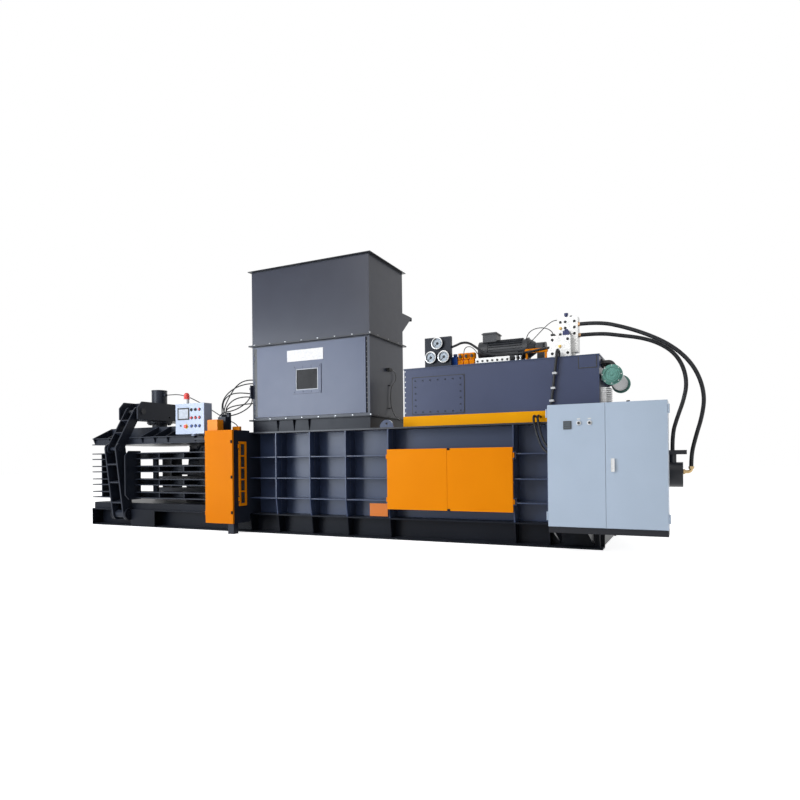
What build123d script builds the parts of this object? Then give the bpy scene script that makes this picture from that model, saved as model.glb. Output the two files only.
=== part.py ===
from build123d import *
import math
import os

# Recycling baler, lying machine that presses loose waste into tied bales.
# Millimetres. X runs along the machine towards the main cylinder, Y across it
# with the operator's side at -Y, and Z up from the ground.

# Press body
BASE_LENGTH = 9934
HALF_LENGTH = BASE_LENGTH / 2
CHAMBER_WIDTH = 1250
WALL = 20
RIB_DEPTH = 300
RIB_THICKNESS = 20
BEAM_HEIGHT = 327
TIE_PLATE = 300
FLOOR_TOP = 450
FLOOR_PLATE = 30
CHAMBER_HEIGHT = 1150
RAIL_TOP = 1750
RAIL_PLATE = 25
BELT_RIB_HEIGHTS = [605, 949, 1310]
BELT_RIB_THICKNESS = 16
RIB_TAPER_TOP = 600
RIB_FOOT_SETBACK = 85

# Sections along the machine
TIE_LEFT = -1700
TIE_RIGHT = -940
POST_WIDTH = 100
FEED_LEFT = -1020
FEED_RIGHT = 1250

# Ram and main cylinder
RAM_FACE = 1290
RAM_LENGTH = 1500
RAM_TAIL = 2420
RAM_SIDE_GAP = 10
RAM_PLATE = 20
RAM_FACE_PLATE = 60
SHOE_HEIGHT = 9.7
CYLINDER_Z = 990
CYLINDER_RADIUS = 170
CYLINDER_BORE = 125
CYLINDER_FRONT = 2950
CYLINDER_END = 5760
END_CAP_LENGTH = 186
ROD_RADIUS = 90
BULKHEAD_PLATE = 40
FLANGE_RADIUS = 260
FLANGE_PLATE = 40
FIT = 0.05

# Exit channel with its clamping walls
BAR_HEIGHTS = [610, 863, 1116, 1369]
BAR_SECTION = 130
BAR_PLATE = 20
CLAMP_WALL_DEPTH = 320
CLAMP_WALL_START = 17 - HALF_LENGTH
CLAMP_GAP = 38
PAD_INNER = 868
PAD_SHARE = 0.60
PAD_LEAN = 7.5
STIFFENER_PITCH = 626
PRESS_PLATE_UNDER = 1600
PRESS_PLATE_SKIRT = 138
PRESS_BEAM_TOP = 1951
PRESS_BEAM_Y = 497
PRESS_HINGE_Z = 1690
GUSSET_STATIONS = [offset - HALF_LENGTH for offset in (29, 467, 1367, 1697, 2037)]

# Lever arms, yoke and tension cylinder
ARM_X = 882 - HALF_LENGTH
ARM_HALF_WIDTH = 143
ARM_PLATE = 30
ARM_RADIUS = 115
ARM_PIVOT = (955, 237)
KNEE = (1118, 1510)
YOKE_PIN = (676, 2262)
LINK_RADIUS = 92
PIN_RADIUS = 38
PIVOT_PIN_RADIUS = 45
YOKE_HALF_WIDTH = 250
YOKE_LENGTH = 1600
YOKE_BOTTOM = 2100
YOKE_TOP = 2460
TENSION_RADIUS = 155
TENSION_TOP = 2755
TENSION_ROD = 88

# Tie unit
TIE_BOX_FRONT = 1355
TIE_BOX_LEFT = -1540
TIE_BOX_BOTTOM = 190
TIE_BOX_TOP = 1780
SHEET = 8
PAN_DEPTH = 36
NEEDLE_X = -1250
NEEDLE_RADIUS = 16
NEEDLE_LENGTH = 1420
NEEDLE_HEIGHTS = [640, 893, 1146, 1399]
GUARD_NEAR = 1245
GUARD_FAR = 1058
GUARD_BOTTOM = 480
GUARD_TOP = 1585

# Hopper
HOPPER_LEFT = -1145
HOPPER_RIGHT = 1355
HOPPER_HALF_DEPTH = 695
FLANGE_WIDTH = 50
HOPPER_FLANGE = 12
HOPPER_SHEET = 6
COLLAR_RIB_STATIONS = [-551, -204, 111]
HOPPER_BASE = 1961
HOPPER_MIDDLE = 3313
HOPPER_TOP = 4662
HOPPER_DOOR_LEFT = -1020
HOPPER_DOOR_RIGHT = 1240
HOPPER_DOOR_BOTTOM = 2024
HOPPER_DOOR_TOP = 3272
WINDOW_CENTRE = (94, 2648)
WINDOW_SIZE = (456, 368)
WINDOW_RIM = 62
WINDOW_SEAT = 15

# Oil tank and what stands on it
TANK_LEFT = 1926
TANK_RIGHT = 4908
TANK_HALF_DEPTH = 645
TANK_BASE = 1926
TANK_TOP = 2687
TANK_SHEET = 8
LID_PLATE = 20
BEARER_LEFT = 1904
BEARER_WIDTH = 50
COVER_BOX = (2075, 2932, 1956, 2531)
HATCH_BOX = (4637, 4870, 2508, 2667)
COVER_PLATE = 10
GAUGE_PANEL_BOX = (2270, 2708, 3150)
GAUGE_PANEL_Y = -600
GAUGE_RADIUS = 90
GAUGE_CENTRES = [(2492, 3050), (2382, 2838), (2598, 2835)]
MOTOR_Z = 2925
MOTOR_Y = -190
MOTOR_RADIUS = 150
COOLER_X = 5070
COOLER_Z = 2392
COOLER_RADIUS = 112
COOLER_CAP_RADIUS = 142
COOLER_FRONT = -610
COOLER_BACK = 720

# Doors in the press body
SERVICE_LEFT = 1770
SERVICE_RIGHT = 3760
SERVICE_BOTTOM = 475
SERVICE_TOP = 1405
DOOR_GAP = 4
SMALL_PANEL = (1443, 1758, 357, 558)

# Electrical cabinet
CABINET_OVERLAP = 626
CABINET_WIDTH = 1452
CABINET_BOTTOM = 343
CABINET_TOP = 1942
CABINET_FRONT = 1395
CABINET_BACK = 960
CABINET_DOOR = 26

# Operator panel
OPERATOR_LEFT = -2467
OPERATOR_RIGHT = -1782
OPERATOR_BOTTOM = 1750
OPERATOR_TOP = 2300
OPERATOR_FRONT = 1150
OPERATOR_DEPTH = 205
BUTTON_COLUMNS = [-2077, -1983, -1890]
BUTTON_ROWS = [1890, 2040, 2185]
BUTTON_RADIUS = 15

# Hoses and cables
MAIN_HOSE = 56
TENSION_HOSE = 18
TIE_HOSE = 20
SENSOR_CABLE = 12
CONDUIT = 40

# Hinges
KNUCKLE_RADIUS = 11
KNUCKLE_LENGTH = 70
HINGE_PIN = 6

# Values worked out from the sizes above
RIB_STATIONS = [-389, 299, 989, SERVICE_LEFT - 12, SERVICE_RIGHT - 10, HALF_LENGTH - 732,
                HALF_LENGTH - 67]
CABINET_LEFT = HALF_LENGTH - CABINET_OVERLAP
CABINET_RIGHT = CABINET_LEFT + CABINET_WIDTH
CABINET_SEAM = CABINET_LEFT + CABINET_WIDTH / 2
INNER = CHAMBER_WIDTH / 2
PLATE_OUT = INNER + WALL
OUTER = PLATE_OUT + RIB_DEPTH
ROOF_UNDER = FLOOR_TOP + CHAMBER_HEIGHT
TIE_FRONT = TIE_BOX_FRONT + PAN_DEPTH + 4
BEAM_WEB = OUTER - 255
RUN_GAP = 0.3
ARM_SLOT = ARM_HALF_WIDTH + ARM_PLATE / 2 + 5


def block(x0, x1, y0, y1, z0, z1):
    """Straight block between two opposite corners."""
    middle = ((x0 + x1) / 2, (y0 + y1) / 2, (z0 + z1) / 2)
    return Pos(*middle) * Box(abs(x1 - x0), abs(y1 - y0), abs(z1 - z0))


def plate_x(points, x0, x1):
    """Plate across the machine, from a (y, z) outline."""
    plane = Plane(origin=(x0, 0, 0), x_dir=(0, 1, 0), z_dir=(1, 0, 0))
    return extrude(plane * make_face(Polyline(*points, close=True)), amount=x1 - x0)


def plate_y(points, y0, y1):
    """Plate along the machine, from an (x, z) outline."""
    plane = Plane(origin=(0, y1, 0), x_dir=(1, 0, 0), z_dir=(0, -1, 0))
    return extrude(plane * make_face(Polyline(*points, close=True)), amount=y1 - y0)


def rod_x(x0, x1, y, z, radius):
    """Round bar along X."""
    return Pos((x0 + x1) / 2, y, z) * Rot(0, 90, 0) * Cylinder(radius, abs(x1 - x0))


def rod_y(y0, y1, x, z, radius):
    """Round bar along Y."""
    return Pos(x, (y0 + y1) / 2, z) * Rot(90, 0, 0) * Cylinder(radius, abs(y1 - y0))


def rod_z(z0, z1, x, y, radius):
    """Round bar along Z."""
    return Pos(x, y, (z0 + z1) / 2) * Cylinder(radius, abs(z1 - z0))


def hexagon_x(x0, x1, y, z, radius):
    """Six-sided bolt head along X."""
    head = extrude(RegularPolygon(radius, 6), amount=abs(x1 - x0))
    return Pos(min(x0, x1), y, z) * Rot(0, 90, 0) * head


def hexagon_y(y0, y1, x, z, radius):
    """Six-sided bolt head along Y."""
    head = extrude(RegularPolygon(radius, 6), amount=abs(y1 - y0))
    return Pos(x, max(y0, y1), z) * Rot(90, 0, 0) * head


def hexagon_z(z0, z1, x, y, radius):
    """Six-sided bolt head along Z."""
    head = extrude(RegularPolygon(radius, 6), amount=abs(z1 - z0))
    return Pos(x, y, min(z0, z1)) * head


def joined(*shapes):
    """Shapes welded into one solid, or kept as one group where they are apart."""
    flat = []
    for shape in shapes:
        flat.extend(shape if isinstance(shape, list) else [shape])
    return Part() + flat


def both_sides(shape):
    """The shape and its mirror image on the other side of the machine."""
    return [shape, mirror(shape, about=Plane.XZ)]


def far_side(shape):
    """The mirror image on the far side of the machine."""
    return mirror(shape, about=Plane.XZ)


def spaced(first, last, count):
    """Even stations from first to last."""
    return [first + (last - first) * index / (count - 1) for index in range(count)]


def hinge_halves(x, y, heights, leaf_door, leaf_frame):
    """Upright hinges: the door's bored knuckles and the frame's pins.

    leaf_door and leaf_frame give the (x, y) corner that each leaf reaches.
    """
    door = []
    frame = []
    half = KNUCKLE_LENGTH / 2
    for z in heights:
        knuckle = rod_z(z - half, z + half, x, y, KNUCKLE_RADIUS)
        leaf = block(x, leaf_door[0], y, leaf_door[1], z - half, z + half)
        bore = rod_z(z - half, z + half, x, y, HINGE_PIN + FIT)
        door.append(knuckle + leaf - bore)
        pin = rod_z(z - half - 20, z + half + 20, x, y, HINGE_PIN)
        for low in (z - half - 21, z + half + 1):
            pin += rod_z(low, low + 20, x, y, KNUCKLE_RADIUS)
            pin += block(x, leaf_frame[0], y, leaf_frame[1], low, low + 20)
        frame.append(pin)
    return door, frame


def hose(points, diameter, name):
    """Hose of straight runs joined by arcs as large as the runs allow."""
    corners = [Vector(*point) for point in points]
    radii = []
    for before, corner, after in zip(corners, corners[1:], corners[2:]):
        turn = (corner - before).get_angle(after - corner)
        run = min((corner - before).length, (after - corner).length)
        radii.append(0.45 * run / math.tan(math.radians(turn) / 2))
    path = FilletPolyline(*points, radius=radii)
    start = Plane(origin=path @ 0, z_dir=path % 0)
    tube = sweep(start * Circle(diameter / 2), path=path)
    area = math.pi * diameter ** 2 / 4
    print(f"{name}: radii {[round(radius) for radius in radii]}, length {path.length:.0f},"
          f" volume ratio {tube.volume / (area * path.length):.4f}")
    return tube


# Base frame

def make_base():
    """Two long channel beams, cross bearers, floor edges and the arm brackets."""
    edge = OUTER - 45
    profile = [
        (-OUTER, 0), (-BEAM_WEB, 0), (-BEAM_WEB, BEAM_HEIGHT), (-edge, BEAM_HEIGHT),
        (-edge, BEAM_HEIGHT - 20), (-BEAM_WEB - 20, BEAM_HEIGHT - 20), (-BEAM_WEB - 20, 20),
        (-OUTER, 20),
    ]
    parts = both_sides(plate_x(profile, -HALF_LENGTH, HALF_LENGTH))
    for x in spaced(-HALF_LENGTH + 17, HALF_LENGTH - 37, 12):
        parts.append(block(x, x + 20, -BEAM_WEB, BEAM_WEB, 20, BEAM_HEIGHT))
        parts.append(block(x, x + 20, -INNER + 1, INNER - 1, BEAM_HEIGHT, FLOOR_TOP - FLOOR_PLATE))
    parts.append(block(-TIE_PLATE / 2, TIE_PLATE / 2, -BEAM_WEB, BEAM_WEB, 0, 20))
    parts.append(make_floor())
    for x in RIB_STATIONS + [TIE_RIGHT - 50]:
        foot = [
            (-BEAM_WEB - 20, 20), (-BEAM_WEB - 20, BEAM_HEIGHT - 20),
            (-rib_edge(BEAM_HEIGHT - 20), BEAM_HEIGHT - 20), (-rib_edge(20), 20),
        ]
        parts += both_sides(plate_x(foot, x, x + RIB_THICKNESS))
    strip = block(-HALF_LENGTH, TIE_LEFT, -edge + 15, -edge + 35, BEAM_HEIGHT, FLOOR_TOP)
    parts += both_sides(strip)
    parts += both_sides(block(-HALF_LENGTH, TIE_LEFT, -OUTER, -edge, BEAM_HEIGHT - 20, BEAM_HEIGHT))
    parts += both_sides(block(-HALF_LENGTH, -HALF_LENGTH + 12, -OUTER, -BEAM_WEB, 0, BEAM_HEIGHT))
    frame = joined(parts)
    notch = block(ARM_X - ARM_SLOT, ARM_X + ARM_SLOT, -OUTER, -ARM_PIVOT[0] + ARM_RADIUS + 26,
                  BEAM_HEIGHT - 21, FLOOR_TOP + 1)
    frame -= both_sides(notch)
    return joined(frame, arm_brackets(), base_pins())


def rib_edge(z):
    """How far out the front edge of an upright rib is at a height."""
    if z >= RIB_TAPER_TOP:
        return OUTER
    share = (RIB_TAPER_TOP - z) / (RIB_TAPER_TOP - 20)
    return OUTER - RIB_FOOT_SETBACK * share


def arm_brackets():
    """Ears on both beams that hold the lower pins of the lever arms."""
    y, z = ARM_PIVOT
    inner = ARM_SLOT
    ears = []
    for side in (-1, 1):
        x0 = ARM_X + side * inner
        x1 = x0 + side * 40
        ear = rod_x(x0, x1, -y, z, ARM_RADIUS)
        ear += block(x0, x1, -y, -BEAM_WEB - 10, z - ARM_RADIUS, z + ARM_RADIUS)
        ear -= rod_x(x0, x1, -y, z, PIVOT_PIN_RADIUS + FIT)
        ears += both_sides(ear)
    start = ARM_X + inner + 40
    web = block(start, start + 640, -OUTER, -OUTER + 20, 20, BEAM_HEIGHT)
    ears += both_sides(web)
    return ears


def base_pins():
    """Headed pins of the lower arm joints, locked in the ears."""
    y, z = ARM_PIVOT
    return both_sides(headed_pin(ARM_SLOT + 40, -y, z, PIVOT_PIN_RADIUS))


def make_floor():
    """Wear plate that the bale slides on."""
    exit_half = OUTER - 85
    exit_part = block(-HALF_LENGTH, TIE_LEFT, -exit_half, exit_half, FLOOR_TOP - FLOOR_PLATE,
                      FLOOR_TOP)
    press_part = block(TIE_LEFT, HALF_LENGTH - BULKHEAD_PLATE, -INNER, INNER,
                       FLOOR_TOP - FLOOR_PLATE, FLOOR_TOP)
    return joined(exit_part, press_part)


# Side walls

def make_wall(front):
    """One ribbed side wall of the press body, drawn on the operator's side."""
    parts = [block(TIE_LEFT, HALF_LENGTH, -PLATE_OUT, -INNER, BEAM_HEIGHT, RAIL_TOP)]
    parts.append(block(TIE_RIGHT, HALF_LENGTH, -OUTER, -PLATE_OUT, RAIL_TOP - RAIL_PLATE, RAIL_TOP))
    outline = [
        (-PLATE_OUT, BEAM_HEIGHT), (-rib_edge(BEAM_HEIGHT), BEAM_HEIGHT),
        (-OUTER, RIB_TAPER_TOP), (-OUTER, RAIL_TOP - RAIL_PLATE), (-PLATE_OUT, RAIL_TOP - RAIL_PLATE),
    ]
    for x in RIB_STATIONS:
        parts.append(plate_x(outline, x, x + RIB_THICKNESS))
    for z in BELT_RIB_HEIGHTS:
        spans = [(TIE_RIGHT, HALF_LENGTH)]
        if front:
            spans = [(TIE_RIGHT, SERVICE_LEFT - 12), (SERVICE_RIGHT - 10, HALF_LENGTH)]
        for x0, x1 in spans:
            low = z - BELT_RIB_THICKNESS / 2
            parts.append(block(x0, x1, -OUTER + 12, -PLATE_OUT, low, low + BELT_RIB_THICKNESS))
    wall = joined(parts)
    for z in NEEDLE_HEIGHTS:
        wall -= rod_y(-PLATE_OUT - 1, -INNER + 1, NEEDLE_X, z, NEEDLE_RADIUS + 14)
    if front:
        opening = block(SERVICE_LEFT + 90, SERVICE_RIGHT - 90, -PLATE_OUT - 1, -INNER + 1,
                        SERVICE_BOTTOM + 90, SERVICE_TOP - 80)
        wall -= opening
        wall += lifting_lug()
        return wall
    return far_side(wall)


def lifting_lug():
    """Half-round eye on the top rail."""
    x = RIB_STATIONS[3] - 8
    eye = rod_y(-OUTER + 5, -OUTER + 30, x, RAIL_TOP, 120)
    eye -= block(x - 130, x + 130, -OUTER, -OUTER + 40, RAIL_TOP - 130, RAIL_TOP)
    eye -= rod_y(-OUTER, -OUTER + 40, x, RAIL_TOP + 58, 20)
    return eye


def make_roof():
    """Roof of the tie section and of the ram's housing, with the press plate's hinge lugs."""
    tie_part = block(TIE_LEFT + 20, FEED_LEFT - 60, -INNER, INNER, ROOF_UNDER, RAIL_TOP)
    hollow = block(TIE_LEFT + 50, FEED_LEFT - 90, -INNER + 30, INNER - 30, ROOF_UNDER + 25,
                   RAIL_TOP - 20)
    ram_part = block(FEED_RIGHT, HALF_LENGTH - BULKHEAD_PLATE, -INNER, INNER, ROOF_UNDER,
                     ROOF_UNDER + 25)
    ribs = []
    for x in spaced(FEED_RIGHT, HALF_LENGTH - 300, 7):
        ribs.append(block(x, x + 16, -INNER, INNER, ROOF_UNDER + 25, RAIL_TOP))
    lugs = []
    for side in (-1, 1):
        lug = block(TIE_LEFT - 55, TIE_LEFT + 22, side * 400, side * 430, PRESS_HINGE_Z - 45,
                    PRESS_HINGE_Z + 45)
        lugs.append(lug)
    pin = rod_y(-430, 430, TIE_LEFT - 20, PRESS_HINGE_Z, 20)
    return joined(tie_part - hollow, ram_part, ribs, lugs, pin)


def make_bulkhead():
    """End plate that carries the main cylinder."""
    x1 = HALF_LENGTH
    plate = block(x1 - BULKHEAD_PLATE, x1, -INNER, INNER, FLOOR_TOP - FLOOR_PLATE, RAIL_TOP)
    plate -= rod_x(x1 - BULKHEAD_PLATE - 1, x1 + 1, 0, CYLINDER_Z, CYLINDER_RADIUS + 1)
    return plate


def make_shear_blade():
    """Fixed knife on the edge of the feed opening."""
    knife = [
        (FEED_LEFT - 60, ROOF_UNDER), (FEED_LEFT - 60, ROOF_UNDER + 60),
        (FEED_LEFT, ROOF_UNDER + 60), (FEED_LEFT + 8, ROOF_UNDER),
    ]
    blade = plate_y(knife, -INNER + 1, INNER - 1)
    return blade


# Ram and main cylinder

def make_ram():
    """Box-shaped ram with a long top plate that shuts the feed opening."""
    half = INNER - RAM_SIDE_GAP
    low = FLOOR_TOP + SHOE_HEIGHT + RUN_GAP
    top = ROOF_UNDER - 20
    back = RAM_FACE + RAM_LENGTH
    parts = [block(RAM_FACE, RAM_FACE + RAM_FACE_PLATE, -half, half, low, top)]
    parts.append(block(RAM_FACE, RAM_FACE + RAM_TAIL, -half, half, top - RAM_PLATE, top))
    parts.append(block(RAM_FACE, back, -half, half, low, low + RAM_PLATE))
    parts.append(block(back - 130, back - 90, -half, half, low, top))
    for y in (-half, -200, 180, half - RAM_PLATE):
        parts.append(block(RAM_FACE, back - 90, y, y + RAM_PLATE, low, top))
    for side in (-1, 1):
        tail = [
            (back - 90, top - RAM_PLATE), (back - 90, top - 260), (RAM_FACE + RAM_TAIL, top - 60),
            (RAM_FACE + RAM_TAIL, top - RAM_PLATE),
        ]
        y = side * (half - 10)
        parts.append(plate_y(tail, y - 10, y + 10))
    return joined(parts)


def make_ram_blade():
    """Knife on the upper front edge of the ram."""
    half = INNER - RAM_SIDE_GAP - 2
    top = ROOF_UNDER - 20
    outline = [(RAM_FACE, top), (RAM_FACE, top + 17), (RAM_FACE + 90, top + 17), (RAM_FACE + 96, top)]
    return plate_y(outline, -half, half)


def make_ram_shoes():
    """Four sliding shoes under the ram."""
    shoes = []
    for x in (RAM_FACE + 40, RAM_FACE + RAM_LENGTH - 340):
        for y in (-480, 360):
            shoes.append(block(x, x + 300, y, y + 120, FLOOR_TOP + RUN_GAP,
                               FLOOR_TOP + RUN_GAP + SHOE_HEIGHT))
    return joined(shoes)


def make_main_cylinder():
    """Main cylinder: tube, gland, mounting flange, end cap and oil ports."""
    end = CYLINDER_END + END_CAP_LENGTH
    z = CYLINDER_Z
    body = rod_x(CYLINDER_FRONT, CYLINDER_END, 0, z, CYLINDER_RADIUS)
    body += rod_x(CYLINDER_FRONT - 40, CYLINDER_FRONT + 60, 0, z, CYLINDER_RADIUS + 18)
    body += rod_x(HALF_LENGTH, HALF_LENGTH + FLANGE_PLATE, 0, z, FLANGE_RADIUS)
    body += rod_x(CYLINDER_END, end, 0, z, CYLINDER_RADIUS + 7)
    body -= rod_x(CYLINDER_FRONT + 60, CYLINDER_END, 0, z, CYLINDER_BORE)
    body -= rod_x(CYLINDER_FRONT - 41, CYLINDER_FRONT + 61, 0, z, ROD_RADIUS + FIT)
    port_x = CYLINDER_END + 52
    top = z + CYLINDER_RADIUS
    neck = rod_z(top - 20, top + 116, port_x, 0, 50)
    plate = block(port_x - 60, port_x + 184, -75, 75, top + 115, top + 176)
    return joined(body, neck, plate)


def make_piston_rod():
    """Chromed rod with its piston, bolted to the ram's back plate."""
    start = RAM_FACE + RAM_LENGTH - 90
    piston_end = CYLINDER_END - 40
    rod = rod_x(start, piston_end, 0, CYLINDER_Z, ROD_RADIUS)
    rod += rod_x(start, start + 50, 0, CYLINDER_Z, 160)
    rod += rod_x(piston_end - 140, piston_end, 0, CYLINDER_Z, CYLINDER_BORE - RUN_GAP)
    return rod


def make_cylinder_bolts():
    """Heavy bolts round the cylinder's mounting flange."""
    bolts = []
    x = HALF_LENGTH + FLANGE_PLATE
    for index in range(10):
        angle = math.radians(36 * index + 18)
        y = (FLANGE_RADIUS - 40) * math.cos(angle)
        z = CYLINDER_Z + (FLANGE_RADIUS - 40) * math.sin(angle)
        bolts.append(hexagon_x(x, x + 24, y, z, 26))
    return joined(bolts)


def make_elbow():
    """Brass elbow from the outer hose into the cylinder's end cap."""
    x0 = CYLINDER_END + END_CAP_LENGTH
    x1 = OUTER_HOSE_POINTS[-1][0]
    z0 = CYLINDER_Z + 40
    z1 = OUTER_HOSE_POINTS[-1][2]
    path = FilletPolyline((x0, 0, z0), (x1, 0, z0), (x1, 0, z1), radius=45)
    start = Plane(origin=path @ 0, z_dir=path % 0)
    bend = sweep(start * Circle(24), path=path)
    nuts = hexagon_x(x0, x0 + 26, 0, z0, 36) + hexagon_z(z1 - 34, z1, x1, 0, 36)
    return bend + nuts


# Exit channel

def make_clamp_wall():
    """Side clamping wall: four channel bars tied by upright plates, on the operator's side."""
    back = INNER
    front = INNER + CLAMP_WALL_DEPTH
    start = CLAMP_WALL_START
    stop = TIE_LEFT - CLAMP_GAP
    half = BAR_SECTION / 2
    parts = []
    for z in BAR_HEIGHTS:
        bar = block(start, stop, -front, -back, z - half, z + half)
        bar -= block(start - 1, stop + 1, -front - 1, -back - BAR_PLATE, z - half + BAR_PLATE,
                     z + half - BAR_PLATE)
        parts.append(bar)
        for index in (1, 2, 3):
            x = ARM_X + 326 + STIFFENER_PITCH * index
            if x < stop - 100:
                parts.append(block(x, x + 14, -front + 20, -back, z - half, z + half))
    low = BAR_HEIGHTS[0] - half - 20
    high = BAR_HEIGHTS[-1] + half + 36
    reach = front + 235
    outline = [
        (-front + 135, low), (-reach + 90, low), (-reach, low + 95), (-reach, high - 95),
        (-reach + 90, high), (-front + 135, high),
    ]
    parts.append(plate_x(outline, ARM_X + 326, ARM_X + 346))
    for x in (ARM_X - 600, ARM_X - 346):
        parts.append(block(x, x + 20, -front, -back, low + 20, high - 36))
    for x in (ARM_X + 535, stop - 100):
        for z0, z1 in zip(BAR_HEIGHTS, BAR_HEIGHTS[1:]):
            parts.append(block(x, x + 100, -back - 60, -back, z0 + half, z1 - half))
    tube = rod_z(low + 30, high - 30, TIE_LEFT, -PLATE_OUT - 60, 34)
    arm = [block(stop - 6, TIE_LEFT, -PLATE_OUT - 85, -PLATE_OUT - 35, z - 40, z + 40)
           for z in BAR_HEIGHTS]
    bore = rod_z(low, high, TIE_LEFT, -PLATE_OUT - 60, 20 + FIT)
    pocket = block(ARM_X - ARM_SLOT - 8, ARM_X + ARM_SLOT + 8, -front - 1, -PAD_INNER, low, high)
    y, z = between(ARM_PIVOT, KNEE, PAD_SHARE)
    pad = block(ARM_X - 327, ARM_X + 327, -y + ARM_RADIUS + PAD_LEAN, -PAD_INNER + 20, z - 45, z + 45)
    return joined(joined(parts, tube, arm) - bore - pocket, pad)


def make_press_plate():
    """Top plate that clamps the bale from above, with its gussets and two long beams."""
    start = CLAMP_WALL_START
    stop = TIE_LEFT - 70
    under = PRESS_PLATE_UNDER
    top = PRESS_BEAM_TOP
    skirt_top = under + PRESS_PLATE_SKIRT
    parts = [block(start, stop, -OUTER, OUTER, under, under + 20)]
    side = block(start, stop, -OUTER + 60, -OUTER + 76, under, skirt_top - 16)
    lip = block(start, stop, -OUTER, -OUTER + 76, skirt_top - 16, skirt_top)
    parts += both_sides(side)
    parts += both_sides(lip)
    beam = [
        (start, under), (start, top), (GUSSET_STATIONS[-1] + 40, top), (stop, PRESS_HINGE_Z + 20),
        (stop, under),
    ]
    for y in (-PRESS_BEAM_Y, PRESS_BEAM_Y - 20):
        parts.append(plate_y(beam, y, y + 20))
    web = OUTER - 62
    cross = [
        (-web, under), (-OUTER, skirt_top), (-PRESS_BEAM_Y, top), (PRESS_BEAM_Y, top),
        (OUTER, skirt_top), (web, under),
    ]
    for x in GUSSET_STATIONS:
        parts.append(plate_x(cross, x, x + 16))
    seat = block(ARM_X - 230, ARM_X + 230, -PRESS_BEAM_Y, PRESS_BEAM_Y, top - 40, top)
    parts.append(seat)
    for x in (ARM_X - 230, ARM_X + 214):
        parts.append(block(x, x + 16, -PRESS_BEAM_Y, PRESS_BEAM_Y, under, top))
    small = [(-web, under), (-OUTER, skirt_top), (-PRESS_BEAM_Y, skirt_top), (-PRESS_BEAM_Y, under)]
    x = stop - 480
    parts += both_sides(plate_x(small, x, x + 16))
    tube = rod_y(-390, 390, TIE_LEFT - 20, PRESS_HINGE_Z, 36)
    neck = block(stop - 2, TIE_LEFT - 30, -390, 390, under, PRESS_HINGE_Z)
    bore = rod_y(-391, 391, TIE_LEFT - 20, PRESS_HINGE_Z, 20 + FIT)
    slot = ARM_SLOT + 10
    notch = block(ARM_X - slot, ARM_X + slot, -OUTER - 1, -OUTER + 160, under - 1, skirt_top + 1)
    return joined(parts, tube, neck) - bore - both_sides(notch)


def lever_side(start, end, radius_start, radius_end, x0, x1):
    """Plate with two round ends, one at each pin."""
    (y0, z0), (y1, z1) = start, end
    length = math.hypot(y1 - y0, z1 - z0)
    ny, nz = (z1 - z0) / length, (y1 - y0) / length
    outline = [
        (-y0 - ny * radius_start, z0 - nz * radius_start),
        (-y0 + ny * radius_start, z0 + nz * radius_start),
        (-y1 + ny * radius_end, z1 + nz * radius_end),
        (-y1 - ny * radius_end, z1 - nz * radius_end),
    ]
    plate = plate_x(outline, x0, x1)
    plate += rod_x(x0, x1, -y0, z0, radius_start)
    plate += rod_x(x0, x1, -y1, z1, radius_end)
    return plate


def between(start, end, share):
    """Point on the line between two pins."""
    return (start[0] + (end[0] - start[0]) * share, start[1] + (end[1] - start[1]) * share)


def make_arm():
    """Lower lever arm: two plates, four cross plates, back web and the pivot tube."""
    half = ARM_PLATE / 2
    parts = []
    for side in (-1, 1):
        x = ARM_X + side * ARM_HALF_WIDTH
        parts.append(lever_side(ARM_PIVOT, KNEE, ARM_RADIUS, ARM_RADIUS, x - half, x + half))
    inner = ARM_HALF_WIDTH - half
    lean = math.atan2(KNEE[0] - ARM_PIVOT[0], KNEE[1] - ARM_PIVOT[1])
    for share in (0.19, 0.50, 0.775):
        y, z = between(ARM_PIVOT, KNEE, share)
        ledge = Pos(ARM_X, -y, z) * Rot(math.degrees(lean), 0, 0)
        parts.append(ledge * Box(2 * inner, 2 * ARM_RADIUS - 8, 26))
    y, z = between(ARM_PIVOT, KNEE, 0.52)
    length = math.hypot(KNEE[0] - ARM_PIVOT[0], KNEE[1] - ARM_PIVOT[1])
    web = Pos(ARM_X, -y, z) * Rot(math.degrees(lean), 0, 0)
    web = web * Pos(0, ARM_RADIUS - 14, 0) * Box(2 * inner, 16, length * 0.68)
    parts.append(web)
    y, z = ARM_PIVOT
    parts.append(rod_x(ARM_X - inner, ARM_X + inner, -y, z, 76))
    arm = joined(parts)
    arm -= rod_x(ARM_X - 200, ARM_X + 200, -y, z, PIVOT_PIN_RADIUS + FIT)
    arm += headed_pin(ARM_HALF_WIDTH + half, -KNEE[0], KNEE[1], PIN_RADIUS)
    return arm


def make_link():
    """Upper link: two slanted plates with cross plates, from the knee to the yoke."""
    offset = ARM_HALF_WIDTH - ARM_PLATE - 4
    half = ARM_PLATE / 2
    parts = []
    for side in (-1, 1):
        x = ARM_X + side * offset
        parts.append(lever_side(KNEE, YOKE_PIN, LINK_RADIUS, LINK_RADIUS, x - half, x + half))
    inner = offset - half
    lean = math.atan2(YOKE_PIN[0] - KNEE[0], YOKE_PIN[1] - KNEE[1])
    for share in (0.37, 0.70):
        y, z = between(KNEE, YOKE_PIN, share)
        ledge = Pos(ARM_X, -y, z) * Rot(math.degrees(lean), 0, 0)
        parts.append(ledge * Box(2 * inner, 2 * LINK_RADIUS - 8, 24))
    link = joined(parts)
    link -= rod_x(ARM_X - 200, ARM_X + 200, -KNEE[0], KNEE[1], PIN_RADIUS + FIT)
    link -= rod_x(ARM_X - 200, ARM_X + 200, -YOKE_PIN[0], YOKE_PIN[1], PIN_RADIUS + 2)
    return link


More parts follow.
